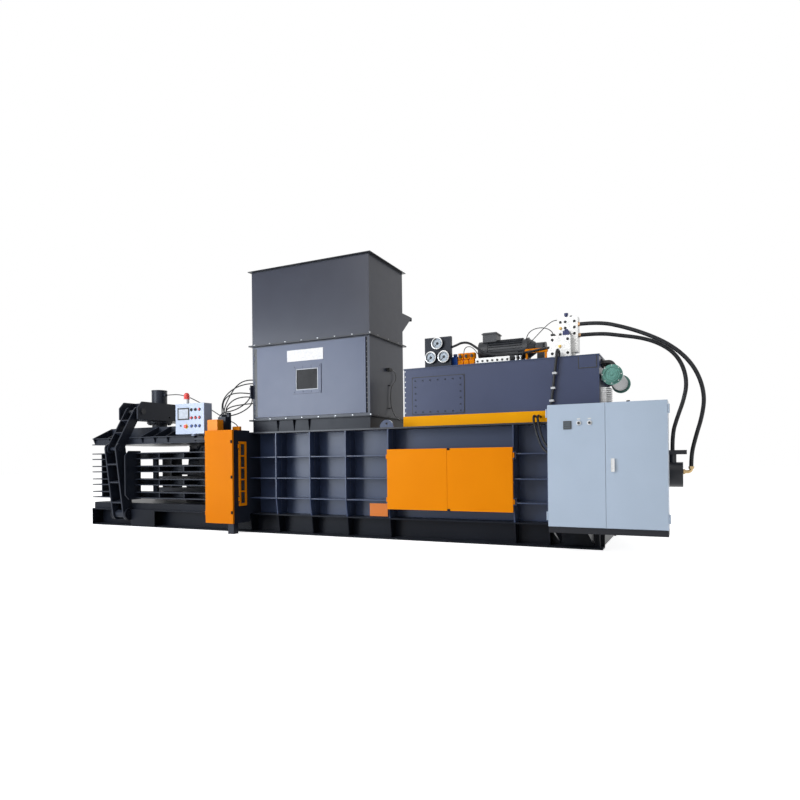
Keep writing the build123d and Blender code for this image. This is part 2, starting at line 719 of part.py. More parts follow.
def headed_pin(x_half, y, z, radius):
    """Pin across the levers with a wide head at each end."""
    pin = rod_x(ARM_X - x_half, ARM_X + x_half, y, z, radius)
    pin += rod_x(ARM_X - x_half - 16, ARM_X - x_half, y, z, radius + 16)
    pin += rod_x(ARM_X + x_half, ARM_X + x_half + 16, y, z, radius + 16)
    return pin


def make_yoke():
    """Cross-beam over the exit channel that carries the tension cylinder."""
    half = YOKE_LENGTH / 2
    outline = [
        (-half, YOKE_BOTTOM), (-half, YOKE_TOP - 125), (-half + 112, YOKE_TOP),
        (half - 112, YOKE_TOP), (half, YOKE_TOP - 125), (half, YOKE_BOTTOM),
    ]
    parts = []
    for side in (-1, 1):
        x = ARM_X + side * YOKE_HALF_WIDTH
        parts.append(plate_x(outline, x - 15, x + 15))
    inner = YOKE_HALF_WIDTH - 15
    reach = half - 112
    parts.append(block(ARM_X - inner, ARM_X + inner, -420, 420, YOKE_TOP - 25, YOKE_TOP))
    parts.append(block(ARM_X - inner, ARM_X + inner, -420, 420, YOKE_BOTTOM, YOKE_BOTTOM + 25))
    for y in (-420, 400):
        parts.append(block(ARM_X - inner, ARM_X + inner, y, y + 20, YOKE_BOTTOM, YOKE_TOP))
    yoke = joined(parts)
    yoke -= rod_z(YOKE_BOTTOM - 1, YOKE_TOP + 1, ARM_X, 0, TENSION_RADIUS)
    for side in (-1, 1):
        for face in (-1, 1):
            x = ARM_X + face * YOKE_HALF_WIDTH
            boss = rod_x(x - 22, x + 22, side * YOKE_PIN[0], YOKE_PIN[1], 74)
            yoke += boss
        yoke -= rod_x(ARM_X - 300, ARM_X + 300, side * YOKE_PIN[0], YOKE_PIN[1], PIN_RADIUS)
    yoke -= rod_x(ARM_X + inner - 1, ARM_X + inner + 40, 20, YOKE_BOTTOM + 75, 20)
    return yoke


def make_tension_cylinder():
    """Upright cylinder set through the yoke, with its flange and gland."""
    body = rod_z(YOKE_BOTTOM, TENSION_TOP - 24, ARM_X, 0, TENSION_RADIUS)
    body += rod_z(TENSION_TOP - 24, TENSION_TOP, ARM_X, 0, TENSION_RADIUS + 3)
    body += rod_z(YOKE_BOTTOM - 50, YOKE_BOTTOM, ARM_X, 0, 250)
    body += rod_z(YOKE_BOTTOM - 128, YOKE_BOTTOM - 50, ARM_X, 0, 150)
    body -= rod_z(YOKE_BOTTOM - 129, YOKE_BOTTOM - 40, ARM_X, 0, TENSION_ROD + FIT)
    body -= rod_z(YOKE_BOTTOM - 40, TENSION_TOP - 60, ARM_X, 0, 115)
    port = block(ARM_X + TENSION_RADIUS - 12, ARM_X + TENSION_RADIUS + 40, -30, 30,
                 TENSION_TOP - 130, TENSION_TOP - 80)
    return body + port


def make_yoke_bolts():
    """Bolts of the tension cylinder's flange."""
    bolts = []
    for index in range(12):
        angle = math.radians(30 * index + 15)
        x = ARM_X + 205 * math.cos(angle)
        y = 205 * math.sin(angle)
        bolts.append(hexagon_z(YOKE_BOTTOM - 74, YOKE_BOTTOM - 50, x, y, 22))
    return joined(bolts)


def make_tension_rod():
    """Rod of the tension cylinder; its foot rests on the press plate."""
    foot = PRESS_BEAM_TOP + RUN_GAP
    rod = rod_z(foot + 16, TENSION_TOP - 160, ARM_X, 0, TENSION_ROD)
    rod += rod_z(foot, foot + 16, ARM_X, 0, 60)
    rod += rod_z(TENSION_TOP - 260, TENSION_TOP - 160, ARM_X, 0, 115 - RUN_GAP)
    return rod


# Tie unit

def make_tie_frame():
    """Posts round the chamber, the wire box on the operator's side and the needle rails."""
    parts = []
    post_x0 = TIE_LEFT + 40
    post_x1 = post_x0 + POST_WIDTH
    posts = block(post_x0, post_x1, -OUTER, -PLATE_OUT, BEAM_HEIGHT, RAIL_TOP)
    parts += both_sides(posts)
    rail = block(post_x1, TIE_RIGHT, -OUTER, -PLATE_OUT, RAIL_TOP - RAIL_PLATE, RAIL_TOP)
    parts.append(far_side(rail))
    for z in (BAR_HEIGHTS[0] - 85, BAR_HEIGHTS[-1] + 101):
        lug = block(TIE_LEFT - 30, post_x0, -PLATE_OUT - 90, -PLATE_OUT - 30, z - 12, z + 12)
        parts += both_sides(lug)
    pin_low = BAR_HEIGHTS[0] - 85
    pin_high = BAR_HEIGHTS[-1] + 101
    parts += both_sides(rod_z(pin_low, pin_high, TIE_LEFT, -PLATE_OUT - 60, 20))
    parts += wire_box()
    wing = block(TIE_BOX_LEFT, TIE_RIGHT, -OUTER, -PLATE_OUT, RAIL_TOP - RAIL_PLATE, RAIL_TOP)
    side = block(TIE_RIGHT - SHEET, TIE_RIGHT, -OUTER, -PLATE_OUT, BEAM_HEIGHT, RAIL_TOP)
    parts += [wing, side, far_side(side)]
    foot = block(TIE_RIGHT - 210, TIE_RIGHT - 90, -TIE_BOX_FRONT + 80, -TIE_BOX_FRONT + 200, 0,
                 TIE_BOX_BOTTOM)
    parts.append(foot)
    parts += needle_rails()
    return joined(parts)


def wire_box():
    """Four panels of the wire box, screwed edge to edge, with the guard door's opening."""
    front, back = -TIE_BOX_FRONT, -OUTER - RUN_GAP
    low, high = TIE_BOX_BOTTOM + SHEET, TIE_BOX_TOP - SHEET
    panels = [
        block(TIE_BOX_LEFT, TIE_RIGHT, front, back, TIE_BOX_BOTTOM, low),
        block(TIE_BOX_LEFT, TIE_RIGHT, front, back, high, TIE_BOX_TOP),
    ]
    for x in (TIE_BOX_LEFT, TIE_RIGHT - SHEET):
        panels.append(block(x, x + SHEET, front, back, low + RUN_GAP, high - RUN_GAP))
    panels[-1] -= block(TIE_RIGHT - SHEET - 1, TIE_RIGHT + 1, -GUARD_NEAR + 22, -GUARD_FAR - 22,
                        GUARD_BOTTOM + 22, GUARD_TOP - 22)
    return panels


def needle_reach():
    """How far the needle rails stand out on the far side."""
    return PLATE_OUT + 15 + NEEDLE_LENGTH + 160


def needle_rails():
    """Two rail pairs on the far side that the needle carriage runs on, with an end portal."""
    reach = needle_reach()
    rails = []
    for x in (NEEDLE_X - 190, NEEDLE_X + 130):
        for z in (NEEDLE_HEIGHTS[0] - 190, NEEDLE_HEIGHTS[-1] + 130):
            rails.append(block(x, x + 60, PLATE_OUT, reach, z, z + 60))
        rails.append(block(x, x + 60, reach - 60, reach, 0, NEEDLE_HEIGHTS[-1] + 130))
    top = NEEDLE_HEIGHTS[-1] + 130
    rails.append(block(NEEDLE_X - 190, NEEDLE_X + 190, reach - 60, reach, top, top + 60))
    return rails


def make_needle_carriage():
    """Upright beam with four needles that push the wires across the bale."""
    y0 = PLATE_OUT + 15
    y1 = y0 + NEEDLE_LENGTH
    low = NEEDLE_HEIGHTS[0] - 130 + RUN_GAP
    high = NEEDLE_HEIGHTS[-1] + 130 - RUN_GAP
    parts = [block(NEEDLE_X - 60, NEEDLE_X + 60, y1, y1 + 70, low, high)]
    for z in (low, high - 50):
        parts.append(block(NEEDLE_X - 185, NEEDLE_X + 185, y1, y1 + 70, z, z + 50))
    for z in NEEDLE_HEIGHTS:
        needle = rod_y(y0 + 60, y1, NEEDLE_X, z, NEEDLE_RADIUS)
        tip = Pos(NEEDLE_X, y0 + 30, z) * Rot(90, 0, 0) * Cone(NEEDLE_RADIUS, 6, 60)
        parts += [needle, tip]
    return joined(parts)


def make_twister():
    """Upright shaft with four hook arms that twist the wires together."""
    x, y = NEEDLE_X, -OUTER - 115
    low = TIE_BOX_BOTTOM + SHEET + RUN_GAP
    shaft = rod_z(low, TIE_BOX_TOP - SHEET - RUN_GAP, x, y, 24)
    parts = [shaft]
    for z in NEEDLE_HEIGHTS:
        parts.append(rod_z(z - 25, z + 25, x, y, 60))
        hook = block(x - 12, x + 12, y - 105, y + 105, z - 10, z + 10)
        hook += block(x - 12, x + 12, y - 105, y - 90, z - 10, z + 34)
        hook += block(x - 12, x + 12, y + 90, y + 105, z - 10, z + 34)
        parts.append(hook)
    return joined(parts)


def pan(x0, x1, z0, z1, front, depth, sheet):
    """Folded sheet door that faces the operator, open at its back."""
    door = block(x0, x1, -front, -front + depth, z0, z1)
    door -= block(x0 + sheet, x1 - sheet, -front + sheet, -front + depth + 1, z0 + sheet, z1 - sheet)
    return door


def make_tie_cover():
    """Orange door of the wire box, hung at its left edge."""
    door = pan(TIE_BOX_LEFT, TIE_RIGHT, TIE_BOX_BOTTOM, TIE_BOX_TOP, TIE_FRONT, PAN_DEPTH, 4)
    halves, frame = hinge_halves(TIE_BOX_LEFT - 13, -TIE_FRONT + PAN_DEPTH / 2,
                                 [TIE_BOX_BOTTOM + 170, TIE_BOX_TOP - 125],
                                 (TIE_BOX_LEFT, -TIE_FRONT + PAN_DEPTH / 2 + 5),
                                 (TIE_BOX_LEFT - 7, -TIE_BOX_FRONT + 60))
    strap = [block(TIE_BOX_LEFT - 13, TIE_BOX_LEFT, -TIE_BOX_FRONT + 20, -TIE_BOX_FRONT + 60,
                   z - KNUCKLE_LENGTH / 2 - 21, z + KNUCKLE_LENGTH / 2 + 21)
             for z in (TIE_BOX_BOTTOM + 170, TIE_BOX_TOP - 125)]
    return joined(door, halves), joined(frame, strap)


def make_tie_latches():
    """Three turn catches on the cover's free edge."""
    catches = []
    for z in spaced(TIE_BOX_BOTTOM + 189, TIE_BOX_TOP - 200, 3):
        catches.append(block(TIE_RIGHT - 34, TIE_RIGHT - 2, -TIE_FRONT - 9, -TIE_FRONT, z - 24, z + 24))
    return joined(catches)


def make_guard_door():
    """Narrow framed door with a slotted panel in the side of the wire box."""
    x0, x1 = TIE_RIGHT + 3, TIE_RIGHT + 25
    door = block(x0, x1, -GUARD_NEAR, -GUARD_FAR, GUARD_BOTTOM, GUARD_TOP)
    door -= block(x0 - 1, x1 + 1, -GUARD_NEAR + 38, -GUARD_FAR - 38, GUARD_BOTTOM + 45,
                  GUARD_TOP - 45)
    bars = []
    for z in spaced(GUARD_BOTTOM + 45, GUARD_TOP - 45, 6)[1:-1]:
        bars.append(block(x0 + 4, x0 + 12, -GUARD_NEAR + 30, -GUARD_FAR - 30, z - 12, z + 12))
    heights = [GUARD_BOTTOM + 120, GUARD_TOP - 80]
    halves, frame = hinge_halves(x1 - 8, -GUARD_NEAR - 13, heights,
                                 (x1 - 14, -GUARD_NEAR), (TIE_RIGHT, -GUARD_NEAR - 7))
    return joined(door, bars, halves), joined(frame)


def make_tie_valve():
    """Valve block, its orange caps and the upright fitting on top of the wire box."""
    z0 = TIE_BOX_TOP
    block_body = block(-1500, -1330, -1110, -960, z0, z0 + 250)
    block_body += block(-1376, -1320, -1028, -972, z0, z0 + 330)
    for y in (-1080, -1035, -990):
        block_body += rod_z(z0 + 250, z0 + 300, -1430, y, 16)
    return block_body


def make_tie_caps():
    """Orange housings on top of the wire box."""
    near = block(-1520, -1300, -TIE_BOX_FRONT + 5, -TIE_BOX_FRONT + 155, TIE_BOX_TOP, TIE_BOX_TOP + 190)
    near = chamfer(near.edges().group_by(Axis.Z)[-1], 8)
    far = block(-1260, -1105, -1010, -960, TIE_BOX_TOP, TIE_BOX_TOP + 78)
    return joined(near, far)


# Hopper

def flange_ring(z0, z1):
    """Flat flange round the hopper."""
    ring = block(HOPPER_LEFT, HOPPER_RIGHT, -HOPPER_HALF_DEPTH, HOPPER_HALF_DEPTH, z0, z1)
    inset = FLANGE_WIDTH + HOPPER_SHEET
    ring -= block(HOPPER_LEFT + inset, HOPPER_RIGHT - inset, -HOPPER_HALF_DEPTH + inset,
                  HOPPER_HALF_DEPTH - inset, z0 - 1, z1 + 1)
    return ring


def sheet_box(z0, z1, sheet):
    """Four upright hopper walls."""
    x0, x1 = HOPPER_LEFT + FLANGE_WIDTH, HOPPER_RIGHT - FLANGE_WIDTH
    y = HOPPER_HALF_DEPTH - FLANGE_WIDTH
    walls = block(x0, x1, -y, y, z0, z1)
    walls -= block(x0 + sheet, x1 - sheet, -y + sheet, y - sheet, z0 - 1, z1 + 1)
    return walls


def make_collar():
    """Ring between the press body and the hopper."""
    parts = [sheet_box(RAIL_TOP, HOPPER_BASE, 12), flange_ring(HOPPER_BASE, HOPPER_BASE + 12)]
    y = HOPPER_HALF_DEPTH
    for x in COLLAR_RIB_STATIONS:
        rib = plate_x([(-y + FLANGE_WIDTH, RAIL_TOP), (-y + 4, HOPPER_BASE),
                       (-y + FLANGE_WIDTH, HOPPER_BASE)], x, x + 10)
        parts += both_sides(rib)
    return joined(parts)


def window_hole(y0, y1, grow):
    """Space of the hopper window, made larger all round by grow."""
    x, z = WINDOW_CENTRE
    width, height = WINDOW_SIZE
    return block(x - width / 2 - grow, x + width / 2 + grow, y0, y1, z - height / 2 - grow,
                 z + height / 2 + grow)


def make_hopper_lower():
    """Lower hopper box with the doorway in its front."""
    z0 = HOPPER_BASE + 12
    parts = [flange_ring(z0, z0 + HOPPER_FLANGE), sheet_box(z0, HOPPER_MIDDLE, HOPPER_SHEET)]
    parts.append(flange_ring(HOPPER_MIDDLE - HOPPER_FLANGE, HOPPER_MIDDLE))
    box = joined(parts)
    y = HOPPER_HALF_DEPTH - FLANGE_WIDTH
    box -= block(HOPPER_DOOR_LEFT + 40, HOPPER_DOOR_RIGHT - 40, -y - 1, -y + HOPPER_SHEET + 1,
                 HOPPER_DOOR_BOTTOM + 40, HOPPER_DOOR_TOP - 40)
    return box


def make_hopper_door():
    """Large service door in the hopper's front, with the window cut-out."""
    y = HOPPER_HALF_DEPTH - FLANGE_WIDTH
    x0, x1 = HOPPER_DOOR_LEFT, HOPPER_DOOR_RIGHT
    z0, z1 = HOPPER_DOOR_BOTTOM, HOPPER_DOOR_TOP
    door = block(x0, x1, -y - 26, -y - 3, z0, z1)
    door -= block(x0 + 6, x1 - 6, -y - 20, -y - 2, z0 + 6, z1 - 6)
    door -= window_hole(-y - 30, -y, WINDOW_SEAT + 0.5)
    halves, frame = hinge_halves(x0 - 13, -y - 14, spaced(z0 + 180, z1 - 180, 3),
                                 (x0, -y - 9), (x0 - 19, -y))
    return joined(door, halves), joined(frame)


def make_window_frame():
    """Bolted frame that holds the window."""
    y = HOPPER_HALF_DEPTH - FLANGE_WIDTH + 26
    ring = window_hole(-y - 12, -y, WINDOW_RIM) - window_hole(-y - 13, -y + 1, 0)
    x, z = WINDOW_CENTRE
    width, height = WINDOW_SIZE
    for x_bolt in spaced(x - width / 2 - 30, x + width / 2 + 30, 4):
        for z_bolt in (z - height / 2 - 30, z + height / 2 + 30):
            ring += hexagon_y(-y - 20, -y - 12, x_bolt, z_bolt, 13)
    return ring


def make_window():
    """Clear pane of the hopper window."""
    y = HOPPER_HALF_DEPTH - FLANGE_WIDTH + 26
    return window_hole(-y, -y + 6, WINDOW_SEAT)


def make_hopper_upper():
    """Upper hopper box, open at its top."""
    parts = [flange_ring(HOPPER_MIDDLE, HOPPER_MIDDLE + HOPPER_FLANGE)]
    parts.append(sheet_box(HOPPER_MIDDLE, HOPPER_TOP, HOPPER_SHEET))
    parts.append(flange_ring(HOPPER_TOP - HOPPER_FLANGE, HOPPER_TOP))
    return joined(parts)


def make_chute_ledge():
    """Ledge on the far side of the hopper that the feed conveyor leans on."""
    y0 = HOPPER_HALF_DEPTH - FLANGE_WIDTH
    top = HOPPER_MIDDLE + 600
    ledge = block(HOPPER_LEFT + FLANGE_WIDTH, HOPPER_RIGHT - FLANGE_WIDTH, y0, y0 + 420, top, top + 12)
    ledge += block(HOPPER_LEFT + FLANGE_WIDTH, HOPPER_RIGHT - FLANGE_WIDTH, y0 + 408, y0 + 420,
                   top - 55, top)
    for x in spaced(HOPPER_LEFT + FLANGE_WIDTH, HOPPER_RIGHT - FLANGE_WIDTH - 12, 4):
        ledge += plate_x([(y0, top - 330), (y0, top), (y0 + 400, top)], x, x + 12)
    return ledge


def make_flange_bolts():
    """Bolt heads and nuts round the two hopper joints."""
    bolts = []
    edge = HOPPER_HALF_DEPTH - FLANGE_WIDTH / 2
    for z0 in (HOPPER_BASE + 12 + HOPPER_FLANGE, HOPPER_MIDDLE + HOPPER_FLANGE):
        for x in spaced(HOPPER_LEFT + 115, HOPPER_RIGHT - 25, 8):
            for y in (-edge, edge):
                bolts.append(hexagon_z(z0, z0 + 12, x, y, 13))
        for y in spaced(-edge + 270, edge - 270, 3):
            bolts.append(hexagon_z(z0, z0 + 12, HOPPER_RIGHT - FLANGE_WIDTH / 2, y, 13))
            bolts.append(hexagon_z(z0, z0 + 12, HOPPER_LEFT + FLANGE_WIDTH / 2, y, 13))
    return joined(bolts)


def make_level_sensor():
    """Light sensor on the hopper's side, with its two cable clips."""
    x = HOPPER_RIGHT - FLANGE_WIDTH
    body = block(x, x + 60, -30, 60, 2782, 2832)
    body += rod_y(60, 110, x + 30, 2807, 22)
    for z in (2537, 2140):
        body += block(x, x + 22, 40, 90, z - 8, z + 8)
    return body


def make_hose_bulkhead():
    """Plate on the hopper's left side with the elbows that the tie unit's hoses enter."""
    x = HOPPER_LEFT + FLANGE_WIDTH
    ends = [TIE_HOSE_OUTER_POINTS[-1], TIE_HOSE_INNER_POINTS[-1]]
    low = min(end[2] for end in ends) - 30
    high = max(end[2] for end in ends) + 80
    plate = block(x - 12, x, -710, -570, low, high)
    for end_x, y, z in ends:
        plate += block(end_x - 17, x - 12, y - 17, y + 17, z, z + 44)
    return plate


# Oil tank and drive

def make_bearers():
    """Two long beams under the oil tank."""
    x1 = TANK_RIGHT
    y = TANK_HALF_DEPTH
    beam = block(BEARER_LEFT, x1, -y, -y + BEARER_WIDTH, RAIL_TOP, TANK_BASE)
    parts = both_sides(beam)
    for x in spaced(BEARER_LEFT, x1 - 20, 4):
        parts.append(block(x, x + 20, -y + BEARER_WIDTH, y - BEARER_WIDTH, RAIL_TOP, TANK_BASE))
    return joined(parts)


def make_tank():
    """Oil tank: welded box with a bolted end flange."""
    y = TANK_HALF_DEPTH
    top = TANK_TOP - LID_PLATE
    tank = block(TANK_LEFT, TANK_RIGHT, -y, y, TANK_BASE, top)
    tank -= block(TANK_LEFT + TANK_SHEET, TANK_RIGHT - TANK_SHEET, -y + TANK_SHEET, y - TANK_SHEET,
                  TANK_BASE + TANK_SHEET, top + 1)
    return tank


def make_tank_lid():
    """Lid plate of the oil tank."""
    y = TANK_HALF_DEPTH
    return block(TANK_LEFT - 8, TANK_RIGHT + 8, -y - 8, y + 8, TANK_TOP - LID_PLATE, TANK_TOP)


def make_tank_covers():
    """Cleaning cover and small hatch on the tank's front."""
    y = TANK_HALF_DEPTH
    x0, x1, z0, z1 = COVER_BOX
    large = block(x0, x1, -y - COVER_PLATE, -y, z0, z1)
    large = fillet(large.edges().filter_by(Axis.Y), 40)
    x2, x3, z2, z3 = HATCH_BOX
    small = block(x2, x3, -y - 5, -y, z2, z3)
    return joined(large, small)


def make_cover_bolts():
    """Bolt heads round the cleaning cover and up the tank's end flange."""
    y = -TANK_HALF_DEPTH - COVER_PLATE
    x0, x1, z0, z1 = COVER_BOX
    bolts = []
    for x in spaced(x0 + 49, x1 - 56, 7):
        for z in (z0 + 30, z1 - 50):
            bolts.append(hexagon_y(y - 9, y, x, z, 14))
    for z in spaced(z0 + 30, z1 - 50, 6)[1:-1]:
        for x in (x0 + 49, x1 - 56):
            bolts.append(hexagon_y(y - 9, y, x, z, 14))
    return joined(bolts)


def make_gauge_panel():
    """Upright plate with three round gauge cases."""
    x0, x1, top = GAUGE_PANEL_BOX
    y = GAUGE_PANEL_Y
    panel = block(x0, x1, y, y + 6, TANK_TOP, top) + block(x1 - 6, x1, y, y + 60, TANK_TOP, top)
    panel += block(x0, x0 + 6, y, y + 60, TANK_TOP, top)
    return panel


def make_gauges():
    """Three gauge cases, hollow behind the dial's rim."""
    cases = []
    for x, z in GAUGE_CENTRES:
        y = GAUGE_PANEL_Y
        case = rod_y(y - 42, y, x, z, GAUGE_RADIUS)
        case -= rod_y(y - 43, y - 22, x, z, GAUGE_RADIUS - 12)
        case += rod_y(y - 30, y - 20, x, z, 5)
        cases.append(case)
    return joined(cases)


def make_gauge_needle(index):
    """Pointer of one gauge."""
    x, z = GAUGE_CENTRES[index]
    y = GAUGE_PANEL_Y - 30
    hub = rod_y(y - 4, y + 4, x, z, 11)
    pointer = plate_y([(x - 5, z), (x - 50, z - 46), (x - 46, z - 50), (x, z - 5)], y - 2, y + 1)
    return hub + pointer - rod_y(y - 1, y + 5, x, z, 5 + FIT)


def make_motor():
    """Electric motor with cooling ribs, feet, fan cowl and terminal box."""
    x0, x1 = 3060, 3800
    y, z = MOTOR_Y, MOTOR_Z
    motor = rod_x(x0 + 150, x1, y, z, MOTOR_RADIUS)
    motor += rod_x(x0, x0 + 150, y, z, MOTOR_RADIUS + 14)
    for index in range(24):
        angle = math.radians(15 * index)
        fin = Pos((x0 + x1) / 2 + 60, y, z) * Rot(math.degrees(angle), 0, 0)
        motor += fin * Pos(0, 0, MOTOR_RADIUS + 5) * Box(x1 - x0 - 220, 7, 28)
    motor += rod_x(x1, x1 + 34, y, z, MOTOR_RADIUS + 16)
    for side in (-1, 1):
        foot = block(x0 + 250, x1 - 80, y + side * 100, y + side * 190, TANK_TOP, TANK_TOP + 26)
        foot += block(x0 + 280, x1 - 110, y + side * 110, y + side * 140, TANK_TOP, z)
        motor += foot
    box_low = z + MOTOR_RADIUS - 20
    motor += block(x0 + 70, x0 + 290, y - 120, y + 120, box_low, box_low + 150)
    motor += block(x0 + 55, x0 + 305, y - 135, y + 135, box_low + 122, box_low + 136)
    return motor


def make_pump():
    """Oil pump with its bell housing on the motor's shaft."""
    y, z = MOTOR_Y, MOTOR_Z
    pump = Pos(3884, y, z) * Rot(0, 90, 0) * Cone(MOTOR_RADIUS, 88, 100)
    pump += rod_x(3934, 4090, y, z, 78)
    pump += block(3960, 4060, y - 105, y + 50, z - 50, z + 50)
    pump += block(3960, 4070, y - 50, y + 50, TANK_TOP, z)
    return pump


def make_solenoid_valves():
    """Orange coils and the blue valve body at the tank's front edge."""
    y0, y1 = -520, -400
    valves = []
    for index in range(3):
        x = 2795 + 92 * index
        valves.append(block(x, x + 76, y0, y1, TANK_TOP, TANK_TOP + 86))
        valves.append(block(x, x + 76, y0 + 10, y1 - 10, TANK_TOP + 100, TANK_TOP + 196))
        valves.append(block(x + 20, x + 56, y0 + 30, y1 - 30, TANK_TOP + 86, TANK_TOP + 100))
    return joined(valves)


def make_relief_valve():
    """Blue relief valve beside the coils."""
    body = block(2680, 2785, -520, -400, TANK_TOP, TANK_TOP + 150)
    body += rod_z(TANK_TOP + 150, TANK_TOP + 196, 2732, -460, 30)
    return body


def make_pilot_manifold():
    """Long steel block with the pilot valves' bolts."""
    manifold = block(3075, 3610, -520, -420, TANK_TOP, TANK_TOP + 95)
    manifold -= [rod_y(-521, -495, x, TANK_TOP + 48, 16) for x in spaced(3110, 3575, 7)]
    return manifold


def make_valve_manifold():
    """Two bored steel blocks that feed the main cylinder."""
    lower = block(4200, 4500, -500, -340, TANK_TOP, 3015)
    upper = block(4285, 4578, -340, -165, 2790, 3308)
    stand = block(4330, 4530, -320, -190, TANK_TOP, 2790)
    blocks = joined(lower, upper, stand)
    for x in (4240, 4460):
        for z in (2760, 2960):
            blocks -= rod_y(-501, -475, x, z, 14)
    for x in (4330, 4400, 4530):
        for z in (3060, 3150, 3240):
            blocks -= rod_y(-341, -318, x, z, 13)
    return blocks


def make_hose_fittings():
    """Brass fittings of the two large hoses."""
    fittings = []
    for points in (OUTER_HOSE_POINTS, INNER_HOSE_POINTS):
        x, y, z = points[0]
        fittings.append(rod_x(4578, x, y, z, 27) + hexagon_x(4578, 4596, y, z, 35))
    return joined(fittings)


def make_valve_knob():
    """Hand knob on top of the valve blocks."""
    knob = rod_z(3308 + RUN_GAP, 3350, 4400, -250, 20)
    knob += rod_z(3350, 3384, 4400, -250, 30)
    return knob


def make_cooler():
    """Tube oil cooler beside the tank, with domed green end caps."""
    body = rod_y(COOLER_FRONT + 60, COOLER_BACK - 60, COOLER_X, COOLER_Z, COOLER_RADIUS)
    for y in (COOLER_FRONT + 190, COOLER_BACK - 190):
        body += block(TANK_RIGHT, COOLER_X, y - 30, y + 30, COOLER_Z - 40, COOLER_Z + 40)
    return body


def make_cooler_caps():
    """Cast end caps of the cooler."""
    caps = []
    for y, side in ((COOLER_FRONT, 1), (COOLER_BACK, -1)):
        flange = rod_y(y + side * 34, y + side * 60, COOLER_X, COOLER_Z, COOLER_CAP_RADIUS)
        cap = rod_y(y + side * 8, y + side * 34, COOLER_X, COOLER_Z, COOLER_CAP_RADIUS - 24)
        cap += rod_y(y, y + side * 8, COOLER_X, COOLER_Z, COOLER_CAP_RADIUS - 60)
        caps.append(flange + cap)
    return joined(caps)


def make_cooler_pipes():
    """Return pipes between the cooler and the tank."""
    pipes = []
    z = COOLER_Z + 200
    low = COOLER_Z + COOLER_RADIUS
    for y in (-380, -240):
        path = FilletPolyline((TANK_RIGHT, y, z), (COOLER_X, y, z), (COOLER_X, y, low - 8), radius=70)
        start = Plane(origin=path @ 0, z_dir=path % 0)
        pipe = sweep(start * Circle(36), path=path)
        pipe += rod_x(TANK_RIGHT, TANK_RIGHT + 22, y, z, 58)
        pipe += rod_z(low - 8, low + 20, COOLER_X, y, 58)
        pipes.append(pipe)
    return joined(pipes)


# Doors in the press body

def make_service_door(left):
    """One of the two orange doors over the ram's housing."""
    seam = (SERVICE_LEFT + SERVICE_RIGHT) / 2
    front = OUTER + 3 + PAN_DEPTH
    heights = [SERVICE_BOTTOM + 150, SERVICE_TOP - 115]
    if left:
        x0, x1 = SERVICE_LEFT, seam - DOOR_GAP / 2
        pin_x, leaf_x, frame_x = x0 - 13, x0, x0 - 19
    else:
        x0, x1 = seam + DOOR_GAP / 2, SERVICE_RIGHT
        pin_x, leaf_x, frame_x = x1 + 13, x1, x1 + 19
    door = pan(x0, x1, SERVICE_BOTTOM, SERVICE_TOP, front, PAN_DEPTH, 5)
    pin_y = -front + PAN_DEPTH / 2
    halves, frame = hinge_halves(pin_x, pin_y, heights, (leaf_x, pin_y + 5), (frame_x, -OUTER))
    bracket = []
    for z in heights:
        bracket.append(block(min(pin_x, frame_x) - 22, max(pin_x, frame_x) + 22, -OUTER - 3, -OUTER,
                             z - KNUCKLE_LENGTH / 2 - 21, z + KNUCKLE_LENGTH / 2 + 21))
    return joined(door, halves), joined(frame, bracket)


def make_service_latches():
    """Two catches at the seam of the service doors."""
    seam = (SERVICE_LEFT + SERVICE_RIGHT) / 2
    front = OUTER + 3 + PAN_DEPTH
    catches = []
    for z in (SERVICE_BOTTOM + 14, SERVICE_TOP - 14):
        catches.append(block(seam + 4, seam + 44, -front - 9, -front, z - 12, z + 12))
    return joined(catches)


def make_small_panel():
    """Small bolted cover beside the service doors."""
    x0, x1, z0, z1 = SMALL_PANEL
    return block(x0, x1, -OUTER - 6, -OUTER, z0, z1) + block(x1 - 30, x1, -OUTER, -OUTER + 60, z0, z1)


# Electrical cabinet

def make_cabinet():
    """Sheet cabinet, open at its front behind the two doors."""
    shell = block(CABINET_LEFT, CABINET_RIGHT, -CABINET_FRONT + CABINET_DOOR + 3, -CABINET_BACK,
                  CABINET_BOTTOM, CABINET_TOP)
    shell -= block(CABINET_LEFT + 20, CABINET_RIGHT - 20, -CABINET_FRONT, -CABINET_BACK - 20,
                   CABINET_BOTTOM + 20, CABINET_TOP - 20)
    gland = rod_z(CABINET_TOP, CABINET_TOP + 26, CABINET_SEAM + 263, -CABINET_FRONT + 180, 22)
    return shell + gland


def make_cabinet_gear():
    """Mounting plate inside the cabinet with rows of switchgear."""
    y = -CABINET_BACK - 20
    plate = block(CABINET_LEFT + 80, CABINET_RIGHT - 80, y - 6, y, CABINET_BOTTOM + 80,
                  CABINET_TOP - 80)
    for z in spaced(CABINET_BOTTOM + 260, CABINET_TOP - 360, 4):
        plate += block(CABINET_LEFT + 150, CABINET_RIGHT - 150, y - 86, y - 6, z, z + 130)
    return plate


def make_cabinet_stand():
    """Plinth and brackets that hold the cabinet beside the body."""
    y0, y1 = -CABINET_FRONT + CABINET_DOOR + 3, -OUTER
    z0 = 262
    stand = block(CABINET_LEFT, CABINET_RIGHT, y0, -CABINET_BACK, z0, CABINET_BOTTOM)
    stand -= block(CABINET_LEFT + 20, CABINET_RIGHT - 20, y0 + 20, -CABINET_BACK - 20, z0 - 1,
                   CABINET_BOTTOM - 12)
    for x in (CABINET_LEFT + 60, RIB_STATIONS[-1] - 60):
        stand += plate_x([(y0 + 6, z0), (y1 + 45, z0 - 200), (y1 + 45, z0)], x, x + 20)
    stand += block(CABINET_LEFT + 20, RIB_STATIONS[-1] - 10, -CABINET_BACK, -OUTER + 45, z0,
                   CABINET_BOTTOM)
    return stand


